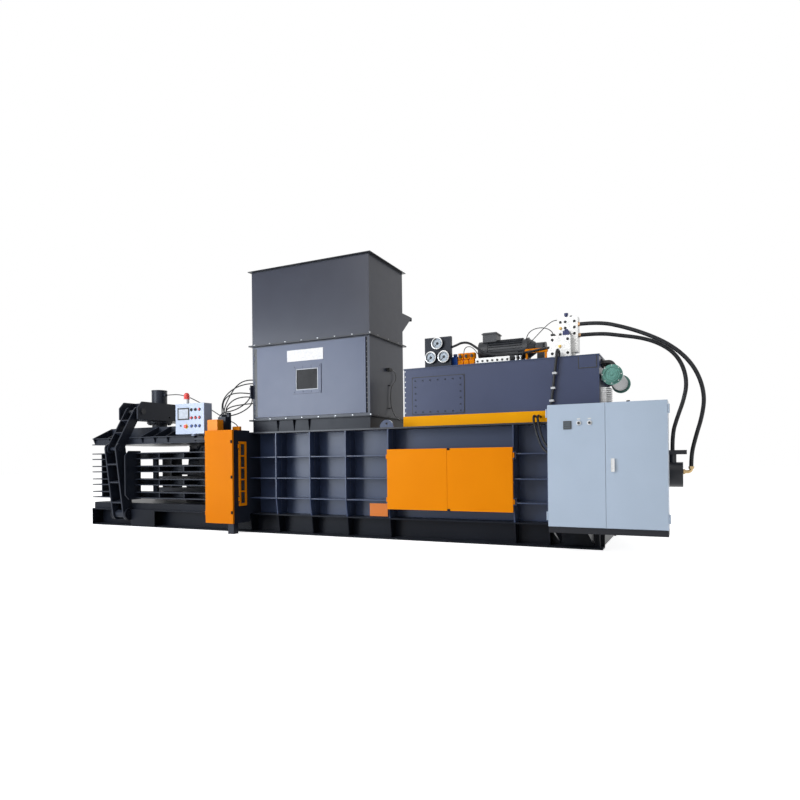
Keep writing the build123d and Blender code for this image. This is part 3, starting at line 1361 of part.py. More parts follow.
def make_cabinet_door(left):
    """One of the two cabinet doors, with its hinges at the outer edge."""
    y = -CABINET_FRONT
    z0, z1 = CABINET_BOTTOM + 6, CABINET_TOP - 6
    heights = [CABINET_BOTTOM + 140, CABINET_TOP - 110]
    if left:
        x0, x1 = CABINET_LEFT, CABINET_SEAM - 2
        pin_x, leaf_x, frame_x = x0 - 13, x0, x0
    else:
        x0, x1 = CABINET_SEAM + 2, CABINET_RIGHT
        pin_x, leaf_x, frame_x = x1 + 13, x1, x1
    door = pan(x0, x1, z0, z1, CABINET_FRONT, CABINET_DOOR, 3)
    if not left:
        door -= rod_y(y - 1, y + 10, x0 + 88, 1147, 12 + FIT)
    pin_y = y + CABINET_DOOR / 2
    halves, frame = hinge_halves(pin_x, pin_y, heights, (leaf_x, pin_y + 5),
                                 (frame_x, y + CABINET_DOOR + 26))
    frame = [piece - block(x0, x1, y - 1, y + CABINET_DOOR + 2, z0, z1) for piece in frame]
    return joined(door, halves), joined(frame)


def make_cabinet_handle():
    """Swing handle of the right cabinet door."""
    x, z = CABINET_SEAM + 90, 1147
    y = -CABINET_FRONT
    handle = rod_y(y - 14, y + 30, x, z, 12)
    handle += block(x - 22, x + 22, y - 30, y - 14, z - 85, z + 85)
    return handle


def make_cabinet_lamps():
    """Meter and two lamps in the left cabinet door."""
    y = -CABINET_FRONT
    x0 = CABINET_LEFT + 208
    lamps = block(x0, x0 + 102, y - 12, y, 1614, 1721)
    for x in (x0 + 194, x0 + 328):
        lamps += rod_y(y - 16, y, x, 1690, 20)
    return lamps


# Operator panel

def make_operator_box():
    """Sloping-free control box of the operator."""
    y0 = -OPERATOR_FRONT
    box = block(OPERATOR_LEFT, OPERATOR_RIGHT, y0, y0 + OPERATOR_DEPTH, OPERATOR_BOTTOM,
                OPERATOR_TOP)
    box = chamfer(box.edges().filter_by(Axis.Z), 6)
    socket_x = (OPERATOR_LEFT + OPERATOR_RIGHT) / 2
    box += rod_z(OPERATOR_BOTTOM - 30, OPERATOR_BOTTOM, socket_x, y0 + 110, 45)
    key_x, key_z = -2331, 1900
    box -= rod_y(y0 - 1, y0 + 30, key_x, key_z, 11 + FIT)
    box -= rod_y(y0 - 1, y0 + 30, -2208, 1887, 14 + FIT)
    for x in BUTTON_COLUMNS:
        for z in BUTTON_ROWS:
            box -= rod_y(y0 - 1, y0 + 24, x, z, BUTTON_RADIUS + RUN_GAP)
    return box


def make_screen():
    """Touch screen in the control box."""
    y0 = -OPERATOR_FRONT
    return block(-2397, -2137, y0 - 6, y0, 2013, 2216)


def make_button(x, z):
    """Push button with its collar's travel left free."""
    y0 = -OPERATOR_FRONT
    return rod_y(y0 - 14, y0 + 12, x, z, BUTTON_RADIUS) + rod_y(y0 - 14, y0 - 10, x, z, BUTTON_RADIUS + 3)


def make_stop_button():
    """Mushroom-shaped emergency stop."""
    y0 = -OPERATOR_FRONT
    stop = rod_y(y0 - 16, y0 + 20, -2208, 1887, 14) + rod_y(y0 - 34, y0 - 16, -2208, 1887, 30)
    return stop


def make_stop_collar():
    """Yellow collar under the emergency stop."""
    y0 = -OPERATOR_FRONT
    return rod_y(y0 - 3, y0, -2208, 1887, 42) - rod_y(y0 - 4, y0 + 1, -2208, 1887, 15)


def make_key_switch():
    """Key switch of the control box."""
    y0 = -OPERATOR_FRONT
    key = rod_y(y0 - 8, y0 + 30, -2331, 1900, 11)
    key += block(-2334, -2328, y0 - 26, y0 - 8, 1888, 1912)
    return key


def make_beacon():
    """Warning lamp on the control box."""
    x, y = -2283, -OPERATOR_FRONT + 100
    dome = rod_z(OPERATOR_TOP + 90, OPERATOR_TOP + 160, x, y, 52)
    dome += Pos(x, y, OPERATOR_TOP + 160) * Sphere(52)
    return dome


def make_beacon_base():
    """White socket under the warning lamp."""
    x, y = -2283, -OPERATOR_FRONT + 100
    base = rod_z(OPERATOR_TOP, OPERATOR_TOP + 90, x, y, 44)
    return base


def make_panel_arm():
    """Tube that carries the control box from the tie unit's post."""
    x = (OPERATOR_LEFT + OPERATOR_RIGHT) / 2
    y = -OPERATOR_FRONT + 110
    z = OPERATOR_BOTTOM - 70
    arm = rod_z(z - 40, OPERATOR_BOTTOM - 30 - RUN_GAP, x, y, 34)
    arm += block(x - 30, TIE_LEFT + 60, y - 30, y + 30, z - 40, z)
    arm += block(TIE_LEFT + 50, TIE_LEFT + 130, y - 30, -OUTER, z - 60, z + 30)
    return arm


# Routes of hoses and cables, from the piece that they leave to the piece that they enter
OUTER_HOSE_POINTS = [
    (4605, -300, 3195), (4880, -300, 3195), (5200, -285, 3098), (5520, -280, 2960),
    (5800, -270, 2795), (6020, -235, 2590), (6160, -185, 2350), (6226, -125, 2070),
    (6192, -70, 1800), (6110, -25, 1520), (6050, 0, 1265), (6050, 0, 1105),
]
INNER_HOSE_POINTS = [
    (4605, -215, 3050), (4880, -215, 3050), (5160, -202, 2992), (5430, -195, 2935),
    (5660, -180, 2842), (5850, -155, 2697), (5965, -125, 2500), (6008, -90, 2260),
    (5962, -60, 2030), (5880, -35, 1800), (5812, 0, 1570), (5812, 0, 1336),
]
TIE_HOSE_OUTER_POINTS = [
    (-1640, -900, 1790), (-1640, -900, 1880), (-1655, -920, 1985), (-1600, -940, 2085),
    (-1490, -945, 2130), (-1370, -920, 2140), (-1260, -850, 2190), (-1170, -745, 2290),
    (-1130, -660, 2410), (-1130, -660, 2530),
]
TIE_HOSE_INNER_POINTS = [
    (-1590, -860, 1790), (-1590, -860, 1870), (-1600, -880, 1960), (-1550, -900, 2030),
    (-1460, -905, 2060), (-1350, -885, 2070), (-1245, -820, 2110), (-1165, -720, 2190),
    (-1130, -620, 2290), (-1130, -620, 2400),
]
TENSION_HOSE_POINTS = [
    (-3890, 0, 2650), (-3740, 0, 2650), (-3530, -50, 2640), (-3290, -120, 2600),
    (-3030, -200, 2535), (-2760, -280, 2440), (-2490, -350, 2330), (-2230, -410, 2210),
    (-1990, -440, 2090), (-1800, -460, 2010), (-1650, -475, 1955), (-1570, -480, 1875),
    (-1570, -480, 1790),
]
SENSOR_CABLE_POINTS = [
    (1335, 110, 2807), (1335, 187, 2807), (1338, 255, 2765), (1340, 275, 2690),
    (1340, 235, 2620), (1338, 160, 2575), (1334, 95, 2510), (1333, 68, 2420),
    (1333, 64, 2300), (1335, 75, 2160), (1385, 70, 2045), (1450, 72, 1955),
    (1545, 76, 1890), (1660, 80, 1850), (1785, 76, 1840), (1904, 76, 1840),
]
CONDUIT_POINTS = [
    (4352, -580, 2687), (4352, -580, 2775), (4346, -698, 2790), (4336, -700, 2660), (4308, -692, 2450),
    (4284, -690, 2240), (4262, -692, 2060), (4240, -705, 1945), (4240, -705, 1860), (4240, -645, 1860),
]


def make_tank_conduit():
    """Bundled line clipped to the tank's front, with its clips."""
    y = -TANK_HALF_DEPTH
    line = hose(CONDUIT_POINTS, CONDUIT, "tank conduit")
    clips = []
    for x, clip_y, z in CONDUIT_POINTS[4:7]:
        clips.append(block(x - 30, x + 30, clip_y - 24, y, z - 14, z + 14))
    return joined(line, clips)


def make_hose_stubs():
    """Fittings on the tie unit that its two hoses leave from."""
    stubs = []
    for x, y, z in (TIE_HOSE_OUTER_POINTS[0], TIE_HOSE_INNER_POINTS[0]):
        stubs.append(rod_z(RAIL_TOP, z, x, y, 16))
    return stubs


def build_nodes():
    """Every named piece of the machine."""
    tie_cover, tie_cover_hinges = make_tie_cover()
    guard_door, guard_hinges = make_guard_door()
    hopper_door, hopper_hinges = make_hopper_door()
    left_door, left_hinges = make_service_door(True)
    right_door, right_hinges = make_service_door(False)
    cabinet_left, cabinet_left_hinges = make_cabinet_door(True)
    cabinet_right, cabinet_right_hinges = make_cabinet_door(False)
    x, y, z = TENSION_HOSE_POINTS[-1]
    tension_stub = rod_z(RAIL_TOP, z, x, y, 16)
    gauge_stub = rod_x(GAUGE_PANEL_BOX[1], GAUGE_PANEL_BOX[1] + 22, GAUGE_PANEL_Y + 30, 2980, 14)
    yoke_reach = YOKE_HALF_WIDTH + 22
    yoke_pin = headed_pin(yoke_reach, -YOKE_PIN[0], YOKE_PIN[1], PIN_RADIUS)
    buttons = [make_button(bx, bz) for bx in BUTTON_COLUMNS for bz in BUTTON_ROWS]
    return {
        "base_frame": make_base(),
        "front_wall": joined(make_wall(True), left_hinges, right_hinges, make_small_panel()),
        "rear_wall": make_wall(False),
        "chamber_roof": joined(make_roof(), tension_stub),
        "end_bulkhead": make_bulkhead(),
        "shear_blade": make_shear_blade(),
        "main_cylinder": joined(make_main_cylinder(), make_elbow()),
        "body_bolts": joined(make_cylinder_bolts(), make_flange_bolts(), make_cover_bolts()),
        "ram": joined(make_ram(), make_ram_shoes()),
        "ram_blade": make_ram_blade(),
        "piston_rod": make_piston_rod(),
        "front_clamp_wall": make_clamp_wall(),
        "rear_clamp_wall": far_side(make_clamp_wall()),
        "press_plate": make_press_plate(),
        "front_arm": make_arm(),
        "rear_arm": far_side(make_arm()),
        "front_link": make_link(),
        "rear_link": far_side(make_link()),
        "yoke": make_yoke(),
        "yoke_pins": joined(both_sides(yoke_pin)),
        "tension_cylinder": joined(make_tension_cylinder(), make_yoke_bolts()),
        "tension_rod": make_tension_rod(),
        "tie_frame": joined(make_tie_frame(), make_panel_arm(), tie_cover_hinges, guard_hinges,
                            make_hose_stubs()),
        "tie_cover": joined(tie_cover, make_tie_latches()),
        "guard_door": guard_door,
        "twister": make_twister(),
        "needle_carriage": make_needle_carriage(),
        "tie_valve": joined(make_tie_valve(), make_tie_caps()),
        "hopper_collar": make_collar(),
        "hopper_lower": joined(make_hopper_lower(), hopper_hinges, make_hose_bulkhead()),
        "hopper_upper": joined(make_hopper_upper(), make_chute_ledge()),
        "hopper_door": joined(hopper_door, make_window_frame()),
        "window_pane": make_window(),
        "level_sensor": make_level_sensor(),
        "tank_bearers": make_bearers(),
        "oil_tank": joined(make_tank(), make_tank_covers(), make_tank_conduit()),
        "tank_lid": make_tank_lid(),
        "gauge_panel": joined(make_gauge_panel(), make_gauges(), gauge_stub,
                              [make_gauge_needle(index) for index in range(3)]),
        "motor": make_motor(),
        "pump": make_pump(),
        "pilot_valves": joined(make_solenoid_valves(), make_relief_valve(), make_pilot_manifold()),
        "valve_manifold": joined(make_valve_manifold(), make_hose_fittings()),
        "valve_knob": make_valve_knob(),
        "oil_cooler": joined(make_cooler(), make_cooler_caps(), make_cooler_pipes()),
        "cabinet_shell": joined(make_cabinet(), make_cabinet_stand(), cabinet_left_hinges,
                                cabinet_right_hinges),
        "cabinet_gear": make_cabinet_gear(),
        "cabinet_left_door": joined(cabinet_left, make_cabinet_lamps()),
        "cabinet_right_door": cabinet_right,
        "cabinet_handle": make_cabinet_handle(),
        "left_service_door": left_door,
        "right_service_door": joined(right_door, make_service_latches()),
        "operator_box": joined(make_operator_box(), make_screen(), make_stop_collar(),
                               make_key_switch(), buttons),
        "stop_button": make_stop_button(),
        "beacon": joined(make_beacon(), make_beacon_base()),
        "main_hose_outer": hose(OUTER_HOSE_POINTS, MAIN_HOSE, "main_hose_outer"),
        "main_hose_inner": hose(INNER_HOSE_POINTS, MAIN_HOSE, "main_hose_inner"),
        "tie_hose_outer": hose(TIE_HOSE_OUTER_POINTS, TIE_HOSE, "tie_hose_outer"),
        "tie_hose_inner": hose(TIE_HOSE_INNER_POINTS, TIE_HOSE, "tie_hose_inner"),
        "tension_hose": hose(TENSION_HOSE_POINTS, TENSION_HOSE, "tension_hose"),
        "sensor_cable": hose(SENSOR_CABLE_POINTS, SENSOR_CABLE, "sensor_cable"),
    }


def main():
    """Write one file for each named piece."""
    os.makedirs("parts", exist_ok=True)
    for name, shape in build_nodes().items():
        export_step(shape, f"parts/{name}.step")


main()
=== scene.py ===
import logging
import math
from collections.abc import Sequence
from dataclasses import dataclass, field, replace
from enum import Enum

import bmesh
import bpy
from mathutils import Matrix, Vector


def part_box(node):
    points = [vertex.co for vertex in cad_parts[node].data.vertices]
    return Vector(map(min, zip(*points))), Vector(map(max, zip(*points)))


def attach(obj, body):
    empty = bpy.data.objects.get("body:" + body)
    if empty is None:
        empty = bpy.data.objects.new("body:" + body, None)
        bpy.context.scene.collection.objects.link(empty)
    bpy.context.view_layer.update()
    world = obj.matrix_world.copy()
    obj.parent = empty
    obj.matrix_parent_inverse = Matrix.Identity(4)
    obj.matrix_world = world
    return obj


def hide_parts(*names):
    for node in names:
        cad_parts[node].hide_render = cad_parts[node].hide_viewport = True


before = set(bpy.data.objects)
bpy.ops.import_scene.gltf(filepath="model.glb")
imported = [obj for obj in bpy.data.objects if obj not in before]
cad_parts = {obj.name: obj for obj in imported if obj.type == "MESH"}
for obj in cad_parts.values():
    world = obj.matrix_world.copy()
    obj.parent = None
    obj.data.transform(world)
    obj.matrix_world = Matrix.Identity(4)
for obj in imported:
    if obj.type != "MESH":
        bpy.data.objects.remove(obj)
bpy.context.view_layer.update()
LOG = logging.getLogger("baler")

Point = tuple[float, float, float]
Colour = tuple[float, float, float]
Edges = tuple[float, float, float, float]
Profile = Sequence[tuple[float, float]]
Socket = bpy.types.NodeSocket

# Turns of small parts in degrees, with their own Z out of the machine's front, or up

TO_FRONT = (90.0, 0.0, 0.0)
UPRIGHT = (0.0, 0.0, 0.0)


class Axis(Enum):
    """Direction that a round part runs along."""

    Y = 1
    Z = 2


class Shape(Enum):
    """Small part that is repeated along a row."""

    HEX_BOLT = "hex bolt"
    RIVET = "rivet"
    WELD_BEAD = "weld bead"
    BAR = "bar"
    SOCKET_SCREW = "socket screw"


# Finishes


@dataclass(frozen=True)
class Patch:
    """Box-shaped region of a node that has a colour of its own.

    Attributes:
        low: Lowest corner in metres.
        high: Highest corner.
        colour: Linear colour inside it.
        metallic: How metallic it is there.
    """

    low: Point
    high: Point
    colour: Colour
    metallic: float = 0.0


@dataclass(frozen=True)
class Finish:
    """Base of every finish: a colour with a roughness, varied over the surface.

    Attributes:
        name: Name of the material.
        slot: Material slot of the record.
        colour: Linear colour.
        roughness: Mean roughness.
        patches: Regions with a colour of their own.
    """

    name: str
    slot: str
    colour: Colour
    roughness: float
    patches: tuple[Patch, ...] = ()

    def material(self) -> bpy.types.Material:
        """Gives the material, made once.

        Returns:
            The material of this finish.
        """
        found = bpy.data.materials.get(self.name)
        if found is None:
            found = bpy.data.materials.new(self.name)
            found.use_nodes = True
            found.diffuse_color = (*self.colour, 1.0)
            nodes = Nodes(found.node_tree)
            self.build(nodes)
            for patch in self.patches:
                nodes.repaint(patch)
        return found

    def build(self, nodes: "Nodes") -> None:
        """Fills the node tree that the helper stands round."""
        nodes.feed("Base Color", (*self.colour, 1.0))
        nodes.feed("Roughness", self.roughness)


class Nodes:
    """Short names for the steps that every material tree needs."""

    def __init__(self, tree: bpy.types.NodeTree) -> None:
        """Starts from the Principled shader of a new material.

        Args:
            tree: Node tree of the material.
        """
        self.tree = tree
        self.shader = tree.nodes["Principled BSDF"].inputs
        self.place = self.new("TexCoord").outputs["Object"]

    def new(self, kind: str, **values: float | Point) -> bpy.types.Node:
        """Adds a node and sets its inputs.

        Args:
            kind: Its type, without the word ShaderNode.
            values: Input values by name, with a low line for each space.

        Returns:
            The node.
        """
        node = self.tree.nodes.new("ShaderNode" + kind)
        for key, value in values.items():
            node.inputs[key.replace("_", " ")].default_value = value
        return node

    def link(self, source: Socket, target: Socket) -> None:
        """Joins an output to an input."""
        self.tree.links.new(source, target)

    def feed(self, key: str, value: Socket | float | tuple[float, ...]) -> None:
        """Sets an input of the shader.

        Args:
            key: Name of the input.
            value: Plain value, or the output that feeds it.
        """
        if isinstance(value, Socket):
            self.link(value, self.shader[key])
        else:
            self.shader[key].default_value = value

    def mapped(self, scale: Point = (1.0, 1.0, 1.0), turn: Point = (0.0, 0.0, 0.0)) -> Socket:
        """Object coordinates, scaled along each axis or turned.

        Args:
            scale: Factor along X, Y and Z.
            turn: Turn round X, Y and Z in radians.

        Returns:
            The vector output.
        """
        node = self.new("Mapping", Scale=scale, Rotation=turn)
        self.link(self.place, node.inputs["Vector"])
        return node.outputs["Vector"]

    def noise(self, scale: float, detail: float, vector: Socket | None = None) -> Socket:
        """Soft noise from 0 to 1.

        Args:
            scale: Cells per metre.
            detail: Octaves.
            vector: Coordinates, or None for the object's own.

        Returns:
            The factor output.
        """
        node = self.new("TexNoise", Scale=scale, Detail=detail)
        self.link(vector or self.place, node.inputs["Vector"])
        return node.outputs["Fac"]

    def ramp(self, source: Socket, low: float = 0.3, high: float = 0.7,
             to_low: float = 0.0, to_high: float = 1.0) -> Socket:
        """Maps a range of a value to another range, held at the ends.

        Args:
            source: Value to map.
            low: Start of the range.
            high: End of the range.
            to_low: Result at the start.
            to_high: Result at the end.

        Returns:
            The mapped value.
        """
        node = self.new("MapRange", From_Min=low, From_Max=high, To_Min=to_low, To_Max=to_high)
        self.link(source, node.inputs["Value"])
        return node.outputs["Result"]

    def mixed(self, amount: Socket, first: Colour | Socket, second: Colour) -> Socket:
        """Blends two colours.

        Args:
            amount: Share of the second colour.
            first: Colour or colour output under it.
            second: Colour over it.

        Returns:
            The blended colour.
        """
        node = self.new("Mix")
        node.data_type = "RGBA"
        self.link(amount, node.inputs["Factor"])
        if isinstance(first, tuple):
            node.inputs[6].default_value = (*first, 1.0)
        else:
            self.link(first, node.inputs[6])
        node.inputs[7].default_value = (*second, 1.0)
        return node.outputs[2]

    def maths(self, operation: str, first: Socket, second: Socket | float) -> Socket:
        """Works out one value from two.

        Args:
            operation: Name of the operation.
            first: One value.
            second: Other value.

        Returns:
            The result.
        """
        node = self.new("Math")
        node.operation = operation
        self.link(first, node.inputs[0])
        if isinstance(second, float):
            node.inputs[1].default_value = second
        else:
            self.link(second, node.inputs[1])
        return node.outputs[0]

    def coordinates(self, vector: Socket) -> bpy.types.NodeOutputs:
        """Splits a vector.

        Args:
            vector: The vector.

        Returns:
            Its X, Y and Z.
        """
        node = self.new("SeparateXYZ")
        self.link(vector, node.inputs[0])
        return node.outputs

    def inside(self, patch: Patch) -> Socket:
        """Tells whether the surface point is in a region.

        Args:
            patch: The region.

        Returns:
            1 inside it, else 0.
        """
        middle = (Vector(patch.low) + Vector(patch.high)) / 2
        half = (Vector(patch.high) - Vector(patch.low)) / 2
        reach = self.place
        for operation, value in (("SUBTRACT", middle), ("ABSOLUTE", None), ("SUBTRACT", half)):
            node = self.new("VectorMath")
            node.operation = operation
            self.link(reach, node.inputs[0])
            if value is not None:
                node.inputs[1].default_value = value
            reach = node.outputs[0]
        along, across, up = self.coordinates(reach)
        widest = self.maths("MAXIMUM", self.maths("MAXIMUM", along, across), up)
        return self.maths("LESS_THAN", widest, 0.0)

    def repaint(self, patch: Patch) -> None:
        """Lays a region's colour over what the shader has.

        Args:
            patch: The region.
        """
        share = self.inside(patch)
        under = self.shader["Base Color"].links[0].from_socket
        self.feed("Base Color", self.mixed(share, under, patch.colour))
        if patch.metallic:
            amount = self.maths("MULTIPLY", share, patch.metallic)
            metal = self.shader["Metallic"].links
            self.feed("Metallic", self.maths("MAXIMUM", metal[0].from_socket, amount) if metal else amount)

    def bump(self, height: Socket, distance: float, strength: float) -> None:
        """Adds relief to the shader.

        Args:
            height: Height from 0 to 1.
            distance: Depth of the relief in metres.
            strength: Share of it that shows.
        """
        node = self.new("Bump", Distance=distance, Strength=strength)
        self.link(height, node.inputs["Height"])
        old = self.shader["Normal"].links
        if old:
            self.link(old[0].from_socket, node.inputs["Normal"])
        self.feed("Normal", node.outputs["Normal"])


@dataclass(frozen=True)
class Paint(Finish):
    """Sprayed machine paint: cloudy shade, fine spray grain, dust on top faces and small scuffs.

    Attributes:
        light: Colour of the paint where it looks lighter.
        dust: Colour of dust on faces that look up.
        dust_share: How thick that dust is.
        gloss: How much the paint mirrors.
        coat: Weight of the glossy top coat.
        wear: How much small scuffs show.
    """

    light: Colour = (0.1, 0.1, 0.1)
    dust: Colour = (0.30, 0.29, 0.28)
    dust_share: float = 0.3
    gloss: float = 0.5
    coat: float = 0.15
    wear: float = 0.0

    def build(self, nodes: Nodes) -> None:
        """Fills the node tree.

        Args:
            nodes: Helper round the material's node tree.
        """
        clouds = nodes.ramp(nodes.noise(0.9, 2.0), 0.25, 0.75)
        colour = nodes.mixed(clouds, self.colour, self.light)
        streaks = nodes.noise(26.0, 6.0, nodes.mapped(scale=(1.0, 1.0, 0.35)))
        colour = nodes.mixed(nodes.ramp(streaks, 0.70, 0.80, to_high=self.wear), colour, self.dust)
        up = nodes.ramp(nodes.coordinates(nodes.new("NewGeometry").outputs["Normal"])["Z"], 0.6, 0.95,
                        to_high=self.dust_share)
        settled = nodes.maths("MULTIPLY", up, nodes.ramp(nodes.noise(6.0, 5.0), to_low=0.35))
        nodes.feed("Base Color", nodes.mixed(settled, colour, self.dust))
        nodes.feed("Roughness", nodes.ramp(nodes.noise(7.0, 5.0), to_low=self.roughness - 0.02,
                                           to_high=self.roughness + 0.03))
        nodes.feed("Specular IOR Level", self.gloss)
        nodes.feed("Coat Weight", self.coat)
        nodes.feed("Coat Roughness", 0.12)
        nodes.bump(nodes.noise(420.0, 2.0), 0.0002, 0.06)
        nodes.bump(nodes.noise(1.4, 0.0), 0.004, 0.15)


@dataclass(frozen=True)
class TwoTonePaint(Paint):
    """Paint that changes colour below a level, such as a cabinet on a dark plinth.

    Attributes:
        level: Height of the change in metres.
        below: Colour below it.
    """

    level: float = 0.0
    below: Colour = (0.01, 0.01, 0.012)

    def build(self, nodes: Nodes) -> None:
        """Fills the node tree.

        Args:
            nodes: Helper round the material's node tree.
        """
        super().build(nodes)
        top = nodes.shader["Base Color"].links[0].from_socket
        height = nodes.coordinates(nodes.place)["Z"]
        low = nodes.ramp(height, self.level - 0.0005, self.level + 0.0005, 1.0, 0.0)
        nodes.feed("Base Color", nodes.mixed(low, top, self.below))


@dataclass(frozen=True)
class Steel(Finish):
    """Bare, plated or polished metal with fine scratches.

    Attributes:
        stain: Darker tone in its patches.
        grain: Scratches per metre along X, Y and Z.
        relief: Depth of the scratches in metres.
        metallic: How metallic it is.
    """

    stain: Colour = (0.2, 0.2, 0.2)
    grain: Point = (40.0, 40.0, 900.0)
    relief: float = 0.0002
    metallic: float = 1.0

    def build(self, nodes: Nodes) -> None:
        """Fills the node tree.

        Args:
            nodes: Helper round the material's node tree.
        """
        patches = nodes.ramp(nodes.noise(14.0, 5.0), 0.35)
        nodes.feed("Base Color", nodes.mixed(patches, self.colour, self.stain))
        scratches = nodes.noise(1.0, 3.0, nodes.mapped(scale=self.grain))
        nodes.feed("Roughness", nodes.ramp(scratches, to_low=self.roughness - 0.06,
                                           to_high=self.roughness + 0.12))
        nodes.feed("Metallic", self.metallic)
        nodes.bump(scratches, self.relief, 0.4)


@dataclass(frozen=True)
class Casting(Finish):
    """Painted casting with a sandy skin.

    Attributes:
        light: Colour on its raised grain.
    """

    light: Colour = (0.2, 0.2, 0.2)

    def build(self, nodes: Nodes) -> None:
        """Fills the node tree.

        Args:
            nodes: Helper round the material's node tree.
        """
        grain = nodes.noise(260.0, 4.0)
        shade = nodes.ramp(nodes.noise(9.0, 4.0))
        nodes.feed("Base Color", nodes.mixed(shade, self.colour, self.light))
        nodes.feed("Roughness", nodes.ramp(grain, to_low=self.roughness - 0.08,
                                           to_high=self.roughness + 0.1))
        nodes.bump(grain, 0.0012, 0.5)


@dataclass(frozen=True)
class HoseCover(Finish):
    """Wrapped rubber cover of a hydraulic hose, with its cloth pattern.

    Attributes:
        weave: Wraps per metre.
        worn: Colour where the cover is dull.
    """

    weave: float = 260.0
    worn: Colour = (0.03, 0.032, 0.036)

    def build(self, nodes: Nodes) -> None:
        """Fills the node tree.

        Args:
            nodes: Helper round the material's node tree.
        """
        super().build(nodes)
        cloth = nodes.new("TexVoronoi", Scale=self.weave)
        nodes.link(nodes.place, cloth.inputs["Vector"])
        dull = nodes.ramp(nodes.noise(22.0, 4.0), 0.35)
        nodes.feed("Base Color", nodes.mixed(dull, self.colour, self.worn))
        nodes.feed("Specular IOR Level", 0.25)
        nodes.bump(cloth.outputs["Distance"], 0.0008, 0.5)


@dataclass(frozen=True)
class Plastic(Finish):
    """Moulded plastic with a faint grain."""

    def build(self, nodes: Nodes) -> None:
        """Fills the node tree.

        Args:
            nodes: Helper round the material's node tree.
        """
        super().build(nodes)
        shade = nodes.ramp(nodes.noise(30.0, 3.0))
        nodes.feed("Base Color", nodes.mixed(shade, self.colour, tuple(c * 0.82 for c in self.colour)))
        nodes.bump(nodes.noise(900.0, 2.0), 0.0003, 0.3)


@dataclass(frozen=True)
class WiredGlass(Finish):
    """Scratched pane with a fine wire net behind it.

    Attributes:
        wire: Colour of the net.
        wire_width: Thickness of a wire in metres.
        spacing: Distance of the wires in metres.
    """

    wire: Colour = (0.05, 0.05, 0.052)
    wire_width: float = 0.0022
    spacing: float = 0.014

    def build(self, nodes: Nodes) -> None:
        """Fills the node tree.

        Args:
            nodes: Helper round the material's node tree.
        """
        net = nodes.new("TexBrick", Scale=1.0, Mortar_Size=self.wire_width, Brick_Width=self.spacing,
                        Row_Height=self.spacing)
        net.offset = 0.0
        nodes.link(nodes.mapped(turn=(math.radians(90), 0.0, 0.0)), net.inputs["Vector"])
        dirt = nodes.ramp(nodes.noise(9.0, 6.0))
        pane = nodes.mixed(dirt, self.colour, tuple(c * 0.55 for c in self.colour))
        nodes.feed("Base Color", nodes.mixed(net.outputs["Fac"], pane, self.wire))
        nodes.feed("Roughness", nodes.ramp(dirt, 0.0, 1.0, self.roughness, self.roughness + 0.25))
        nodes.feed("Specular IOR Level", 0.12)
        nodes.bump(net.outputs["Fac"], 0.0006, 0.5)


BLACK_TONE = (0.010, 0.010, 0.012)
STEEL_TONE = (0.55, 0.55, 0.54)
ZINC_TONE = (0.62, 0.63, 0.64)
ORANGE_TONE = (0.83, 0.245, 0.002)
FLANGE_TONE = (0.010, 0.012, 0.018)
COPPER_TONE = (0.66, 0.40, 0.22)

# Y just in front of the sheets of the hopper and the tank

SHEET_FRONT = -0.6455

# Z of the tank's lid, and just above it

LID = 2.687
LID_SKIN = 2.6875

# X between the service doors, and Y just in front of them

SERVICE_SEAM = 2.765
SERVICE_FRONT = -0.9838

# Gap that a seated piece keeps to the face under it

HAIR = 0.0003


def flange(low: float, high: float) -> tuple[Patch, Patch]:
    """Darkens a flange of the hopper on its front and its right side.

    Args:
        low: Z of its lower edge.
        high: Z of its upper edge.

    Returns:
        Both regions.
    """
    left, side, right, reach = -1.20, 1.3055, 1.42, 0.72
    return (Patch((left, -reach, low), (right, SHEET_FRONT, high), FLANGE_TONE),
            Patch((side, -reach, low), (right, reach, high), FLANGE_TONE))


def gap_shadow_strip(left: float, right: float, low: float, high: float) -> Patch:
    """Gives the dark upright strip of painted shadow in the gap beside the hopper's door."""
    return Patch((left, -0.70, low), (right, -0.60, high), BLACK_TONE)


GRAPHITE = Paint("graphite_paint", "graphite", (0.027, 0.041, 0.086), 0.34, light=(0.037, 0.056, 0.116),
                 dust=(0.20, 0.23, 0.30), dust_share=0.4, gloss=0.3, coat=0.05)
PANEL_PATCH = Patch((1.442, -0.9530, 0.356), (1.759, -0.9445, 0.559), (0.60, 0.150, 0.001))
# Painted shadow: a dark band along the wall's top rail, under the tank's bearers.
RAIL_SHADOW_PATCH = Patch((-1.20, -0.96, 1.7225), (4.95, -0.60, 1.7525), (0.012, 0.014, 0.021))
WALL_PAINT = replace(GRAPHITE, name="front_wall_paint", patches=(RAIL_SHADOW_PATCH, PANEL_PATCH))
TANK_PAINT = replace(
    GRAPHITE, name="tank_paint", colour=(0.038, 0.050, 0.104), light=(0.050, 0.064, 0.128),
    patches=(Patch((4.190, -0.780, 1.830), (4.410, SHEET_FRONT, 2.860), BLACK_TONE),
             Patch((4.190, -0.780, LID_SKIN), (4.410, -0.540, 2.860), BLACK_TONE),
             *(Patch((x - 0.034, -0.780, z - 0.016), (x + 0.034, SHEET_FRONT, z + 0.016), ZINC_TONE)
               for x, z in ((4.308, 2.450), (4.284, 2.240), (4.262, 2.060)))))
CYLINDER_PAINT = Paint(
    "cylinder_paint", "graphite", (0.012, 0.014, 0.020), 0.34, light=(0.024, 0.027, 0.036),
    dust=(0.12, 0.13, 0.15), dust_share=0.4, gloss=0.35,
    patches=(Patch((5.951, -0.060, 0.940), (6.120, 0.060, 1.140), (0.56, 0.40, 0.20), 0.9),))
HOPPER_PAINT = Paint(
    "hopper_paint", "graphite", (0.018, 0.021, 0.036), 0.32, light=(0.030, 0.034, 0.054),
    dust=(0.16, 0.17, 0.20), gloss=0.26, coat=0.08,
    patches=(Patch((-1.20, -0.72, 4.638), (1.42, 0.72, 4.70), FLANGE_TONE), *flange(3.250, 3.340)))
